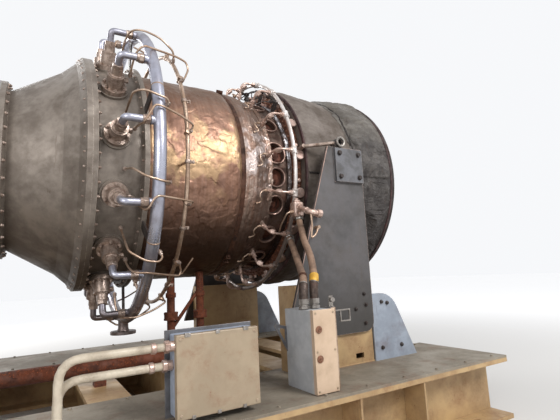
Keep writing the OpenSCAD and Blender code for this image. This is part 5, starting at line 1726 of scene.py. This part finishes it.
@dataclass
class JunctionBoxes(SubAssembly):
    """The two field boxes, with their rounded covers, screws, lugs and glands."""

    def build(self) -> None:
        """Build both boxes."""
        self.small()
        self.large()

    def screws(self, name: str, columns: Sequence[float], rows: Sequence[float]) -> None:
        """The screws of a cover, at each crossing of columns and rows."""
        self.bolts(name, 0.009, [sideways(x, 1.2, z) for x in columns for z in rows],
                   finish=CREAM_PAINT)

    def small(self) -> None:
        """The small upright box, its lapped cover and its glands."""
        # The body's grey is painted shade on the box's sides; its cover keeps the cream.
        self.keep("small_box_body", Bench.block((0.816, -1.19, 0.35), (0.936, -0.95, 0.718),
                                                0.004), SHADED_SIDE_PAINT, "box_small")
        self.keep("small_box_lid", [
            Bench.block((0.8135, -1.2, 0.3535), (0.9385, -1.1905, 0.7205), 0.003),
            Bench.block((0.8135, -1.197, 0.3535), (0.816, -1.176, 0.7205), 0.0008),
            Bench.block((0.936, -1.197, 0.3535), (0.9385, -1.176, 0.7205), 0.0008)],
            WARM_PAINT, "box_small_cover")
        self.screws("small_box_screws", (0.826, 0.926), (0.368, 0.537, 0.706))
        self.keep("small_box_latches", [
            Bench.drum((x, -low, z), (x, -high, z), radius, sides, bevel)
            for x, z in ((0.8395, 0.633), (0.8385, 0.505))
            for low, high, radius, sides, bevel in ((1.2, 1.2055, 0.017, 24, 0.002),
                                                    (1.205, 1.209, 0.008, 6, 0.001))],
            STAINED_STEEL)
        for name, x in (("left", 0.834), ("right", 0.896)):
            self.keep(f"gland_{name}", [
                Bench.drum((x, -1.1, low), (x, -1.1, high), radius, sides, bevel)
                for low, high, radius, sides, bevel in (
                    (0.7205, 0.734, 0.0265, 6, 0.0015), (0.734, 0.742, 0.0195, 28, 0.001),
                    (0.742, 0.768, 0.0245, 8, 0.0015))], BRIGHT_STEEL)
        self.keep("small_box_rail", [
            Bench.block((0.9395, -1.171, 0.352), (0.966, -1.168, 0.722), 0.001),
            Bench.block((0.963, -1.169, 0.352), (0.966, -1.132, 0.722), 0.001)],
            TAN_TUBE, slot="box_paint")
        self.keep("small_box_hook", [
            Bench.block((x0, -1.155, z0), (x1, -1.147, z1), 0.001) for x0, z0, x1, z1 in (
                (0.963, 0.7, 1.069, 0.707), (1.0625, 0.648, 1.069, 0.701),
                (1.006, 0.648, 1.063, 0.6545), (1.006, 0.6535, 1.0125, 0.701))], BRIGHT_STEEL)
        self.keep("small_box_latch", [
            Bench.block((0.9425, -1.155, 0.7), (0.966, -1.15, 0.776), 0.001),
            Bench.drum((0.955, -1.156, 0.757), (0.955, -1.172, 0.757), 0.012, 20, 0.002),
            Bench.drum((0.955, -1.156, 0.722), (0.955, -1.168, 0.722), 0.009, 6)], BRIGHT_STEEL)

    def large(self) -> None:
        """The large box, its cover with rounded corners, its screws and lugs."""
        self.keep("large_box_body", Bench.block((0.189, -1.1885, 0.38), (0.529, -1.1, 0.68),
                                                0.006), BLUE_PAINT, "box_large")
        self.keep("large_box_lid", [
            Bench.block((0.1865, -1.2, 0.3775), (0.5315, -1.19, 0.6825), 0.0035),
            *(Bench.block((x0, -1.197, z0), (x1, -1.172, 0.6825), 0.0008) for x0, z0, x1 in (
                (0.1865, 0.3775, 0.189), (0.529, 0.3775, 0.5315), (0.1865, 0.68, 0.5315)))],
            CREAM_PAINT)
        self.keep("large_box_lugs", [
            *(Bench.block((x - half, -1.2035, 0.6725), (x + half, -1.186, 0.6865), 0.001)
              for x, half in ((0.23, 0.011), (0.352, 0.008), (0.475, 0.011))),
            *(Bench.block((x - 0.007, -1.2035, 0.3755), (x + 0.007, -1.189, 0.389), 0.001)
              for x in (0.25, 0.352, 0.46))], BRIGHT_STEEL)
        self.keep("large_box_plate", Bench.block((0.17, -1.0995, 0.366), (0.548, -1.0935, 0.694),
                                                 0.0015), PAD_STEEL)
        self.screws("large_box_screws", (0.203, 0.515), (0.394, 0.666))


@dataclass
class FuelHoses(SubAssembly):
    """The two sleeved hoses with their ferrules, nuts and the tag."""

    left: tuple[Point, ...] = (
        (0.834, -1.1, 0.758), (0.834, -1.1, 0.788), (0.841, -1.093, 0.820),
        (0.858, -1.072, 0.850), (0.886, -1.028, 0.878), (0.917, -0.965, 0.906),
        (0.952, -0.895, 0.945), (0.981, -0.830, 0.984), (1.0249, -0.7224, 1.0627),
        (1.0496, -0.661, 1.1041))
    right: tuple[Point, ...] = (
        (0.896, -1.1, 0.758), (0.896, -1.1, 0.796), (0.899, -1.098, 0.826),
        (0.913, -1.086, 0.858), (0.930, -1.060, 0.890), (0.960, -1.010, 0.937),
        (0.988, -0.955, 0.986), (1.012, -0.878, 1.059), (1.029, -0.840, 1.090),
        (1.050, -0.798, 1.134), (1.062, -0.768, 1.166), (1.069, -0.751, 1.194),
        (1.070, -0.748, 1.216))

    def build(self) -> None:
        """Build the sleeves, their ends and the tag."""
        sleeves, ferrules, ends = [], [], []
        for route in (self.left, self.right):
            points = [Vector(place) for place in route]
            sleeves.append(Bench.tube(points, 0.037, 0.05, 20))
            foot = [points[0] + Vector((0, 0, 0.002)), *points[1:3],
                    points[2].lerp(points[3], 0.5)]
            ferrules += [Bench.tube(foot, 0.044, 0.05, 24),
                         self.collar(points[-1], points[-2], 0.05, 0.046, 0.0225)]
            run = (points[3] - points[2]).length
            ends += [self.collar(points[2], points[3], 0.46 * run, 0.6 * run, 0.0232,
                                 bevel=0.0015),
                     self.collar(points[-1], points[-2], 0.0, 0.015, 0.0268, 6),
                     self.collar(points[-1], points[-2], 0.044, 0.052, 0.0238)]
        self.keep("hose_sleeves", sleeves, HOSE_SLEEVE, "fuel_hoses")
        self.keep("hose_ferrules", ferrules, FERRULE_STEEL)
        self.keep("hose_ends", ends, BRIGHT_STEEL)
        self.keep("hose_band", self.collar(Vector(self.left[4]), Vector(self.left[3]), 0.0, 0.022,
                                           0.0208), RUSTY_BAND)
        self.keep("hose_tag", Bench.tube([(0.9035, -1.0925, 0.843), self.right[3],
                                          (0.9225, -1.072, 0.8762)], 0.0455, 0.03, 24), TAG_PAINT)

    @staticmethod
    def collar(near: Vector, far: Vector, low: float, high: float, radius: float,
               sides: int = 28, bevel: float = 0.002) -> Piece:
        """A collar on the line from one point to another, between two distances."""
        way = (far - near).normalized()
        return Bench.drum(near + way * low, near + way * high, radius, sides, bevel)


@dataclass
class ValveGroup(SubAssembly):
    """The valve block at the hoses' upper ends, its side arm, its tee and its small lines."""

    def build(self) -> None:
        """Build the valve's details."""
        start, elbow = Vector((1.058, -0.768, 1.274)), Vector((1.0525, -0.882, 1.2293))
        end = Vector((1.134, -0.886, 1.2173))
        hose, tee = Vector((1.0496, -0.661, 1.1041)), Vector((1.066, -0.6201, 1.1317))
        way, arm, run = ((b - a).normalized() for a, b in ((start, elbow), (elbow, end),
                                                           (hose, tee)))
        side = hose + run * 0.022
        self.keep("valve", [
            Bench.block((1.026, -0.7762, 1.2163), (1.092, -0.7202, 1.3063), 0.011),
            Bench.drum((1.059, -0.748, 1.305), (1.059, -0.748, 1.318), 0.022, 28, 0.002),
            Bench.drum((1.059, -0.748, 1.318), (1.059, -0.748, 1.33), 0.0125, 6),
            Bench.drum((1.066, -0.776, 1.236), (1.066, -0.785, 1.236), 0.0145, 6),
            Bench.drum(start + way * 0.006, start + way * 0.022, 0.0235, 8, 0.002),
            Bench.tube([start, elbow, end], 0.033, 0.022, 24),
            Bench.drum(elbow - way * 0.034, elbow - way * 0.02, 0.0215, 6, 0.002),
            Bench.drum(elbow + arm * 0.024, elbow + arm * 0.038, 0.0215, 6, 0.002),
            Bench.drum(end - arm * 0.03, end - arm * 0.003, 0.0245, 8, 0.002),
            Bench.drum(end - arm * 0.003, end + arm * 0.004, 0.0125, 6),
            Bench.drum(hose, tee - run * 0.0163, 0.0215, 28),
            Bench.drum(hose + run * 0.002, hose + run * 0.016, 0.023, 6, 0.002),
            Bench.drum(side, side + Vector((-0.032, -0.006, 0.014)), 0.0115, 6)],
            NOZZLE_STEEL, "hose_valve")
        self.keep("valve_lines", [
            Bench.tube(((1.058, -0.887, 1.214), (1.062, -0.889, 1.15), (1.052, -0.886, 1.078),
                        (1.084, -0.888, 1.1), (1.108, -0.884, 1.142)), 0.012, 0.015),
            Bench.drum((1.108, -0.849, 1.142), (1.108, -0.892, 1.142), 0.0115, 6),
            Bench.tube(((1.008, -0.752, 1.246), (0.984, -0.752, 1.236), (0.98, -0.69, 1.18),
                        (0.992, -0.644, 1.142)), 0.009, 0.02),
            Bench.drum((1.027, -0.752, 1.248), (1.006, -0.752, 1.245), 0.0115, 6)], TAN_TUBE)


@dataclass
class ProbeHarness(SubAssembly):
    """The leads and fittings between the probe bosses over the port casing."""

    x: float = 1.085
    radius: float = 0.705
    angles: tuple[float, ...] = (42, 62, 81, 99, 118, 138)

    def build(self) -> None:
        """Build the probe heads and the leads between them."""
        x, r = self.x, self.radius
        self.repeat("probe_heads", [
            Bench.spoke(x, 0.683, 0.7, 0.0145, 20), Bench.spoke(x, 0.698, 0.716, 0.0195, 8, 0.002),
            Bench.axle(x - 0.036, x + 0.001, r, 0.009, 12),
            Bench.axle(x - 0.046, x - 0.03, r, 0.012, 6),
            Bench.drum((x, -r, 0), (x, -r, 0.034), 0.008, 12)], self.angles, DARK_CASTING)
        leads = []
        for low, high in zip(self.angles, self.angles[1:]):
            middle = (low + high) / 2
            upper = ((0, r, low + 2.2), (0, 0.706, low + 5), (0.012, 0.7, middle),
                     (0, 0.706, high - 4), (0, r, high - 1))
            lower = ((0.045, r, low), (0.07, 0.7, low), (0.085, 0.68, low + 3),
                     (0.085, 0.64, middle - 3), (0.075, 0.635, middle), (0.085, 0.66, high - 3),
                     (0.07, 0.7, high), (0.045, r, high))
            leads += [Bench.tube([on_engine(x - ahead, *place) for ahead, *place in route],
                                 thick, 0.03, 8)
                      for route, thick in ((upper, 0.0085), (lower, 0.0075))]
        self.keep("probe_leads", leads, DARK_CASTING)


@dataclass
class FieldConduits(SubAssembly):
    """The conduits into the large box, smoothly bent, with their lock nuts."""

    runs: tuple[tuple[float, float], ...] = ((-1.17, 0.642), (-1.138, 0.568))

    def build(self) -> None:
        """Build the conduits and nuts."""
        self.keep("conduit_pipes", [
            Bench.tube([(0.1885, y, z), (-0.201, y, z), (-0.201, y, 0.3505)], 0.03, 0.075, 18)
            for y, z in self.runs], CONDUIT, "conduits")
        self.keep("conduit_nuts", [
            Bench.drum((low, y, z), (high, y, z), radius, sides, bevel) for y, z in self.runs
            for low, high, radius, sides, bevel in (
                (0.149, 0.168, 0.0245, 6, 0.002), (0.168, 0.1885, 0.0195, 24, 0.001),
                (0.1, 0.118, 0.0205, 24, 0.002))], NOZZLE_STEEL)


@dataclass
class Drains(SubAssembly):
    """Bolts and unions of the drain header and its risers."""

    y: float = -0.2
    header_z: float = 0.438
    risers: tuple[float, ...] = (-0.52, 0.46, 0.645)

    def build(self) -> None:
        """Build the unions and flange bolts."""
        self.keep("riser_unions", [
            Bench.drum((x, self.y, low), (x, self.y, high), radius, sides, 0.002)
            for x in self.risers for low, high, radius, sides in (
                (0.646, 0.66, 0.0445, 8), (0.68, 0.694, 0.0445, 8), (0.78, 0.81, 0.031, 24),
                (0.53, 0.55, 0.031, 24))], RUSTY_STEEL)
        ways = [math.radians(turn) for turn in range(45, 405, 90)]
        self.bolts("header_bolts", 0.016, [
            moved(x, self.y + 0.05 * math.cos(way), self.header_z + 0.05 * math.sin(way))
            @ turned(flip, "Z") for x, flip in ((-0.64, 180), (0.78, 0)) for way in ways])


@dataclass
class Skid(SubAssembly):
    """Deck screws and weld beads of the skid."""

    def build(self) -> None:
        """Build the skid's details."""
        self.bolts("deck_screws", 0.016, [
            moved(-2.06 + index * 4.12 / 17, y, 0.35) @ turned(-90, "Y")
            for index in range(18) for y in (-1.215, -0.64, 0.64, 1.215)], finish=DECK_PAINT)
        self.keep("deck_welds", [
            Bench.tube([(0.96, side.value * 0.829, 0.352), (1.5, side.value * 0.829, 0.352)],
                       0.009) for side in Side], SKID_PAINT)


def main() -> None:
    """Build every sub-assembly and log how many pieces each made."""
    logging.basicConfig(level=logging.INFO, format="%(name)s %(message)s", stream=sys.stdout)
    turbine_wrap = WrappedCase(
        name="turbine_foil", node="turbine_case", finish=FOIL_SILVER,
        outline=((0.7904, 0.638), (0.806, 0.648), (0.83, 0.647), (0.862, 0.644), (0.91, 0.628),
                 (0.958, 0.612), (0.9696, 0.6085)),
        rolling=(0.18, 0.012), large=(0.075, 0.007), small=(0.03, 0.0026))
    rear_cover = ExhaustCover(
        name="rear_cover", node="exhaust_blanket_rear", finish=BLANKET_DARK,
        outline=((1.5905, 0.648), (1.5905, 0.686), (1.6, 0.693), (1.64, 0.698), (1.69, 0.704),
                 (1.78, 0.713), (1.865, 0.721), (1.878, 0.727), (1.8945, 0.722), (1.8945, 0.648)),
        swell=5.0, growth=0.045, limit=0.018, folds=(0.2, 0.02), ridge=0.95, seams=(1.875,))
    for part in (Studio(), FrameNodes(), WrappedCase(), turbine_wrap, ClampBand(),
                 ExhaustCover(), rear_cover, CoverTrim(), PortRow(), TurbineFuel(), RearRing(),
                 MainFuel(), PilotFuel(), ColdEnd(), EngineSupports(), JunctionBoxes(),
                 FuelHoses(), ValveGroup(), ProbeHarness(), FieldConduits(), Drains(), Skid()):
        part.build()
        LOG.info("%s: %d pieces", type(part).__name__, len(part.pieces))


if __name__ == "__main__":
    main()
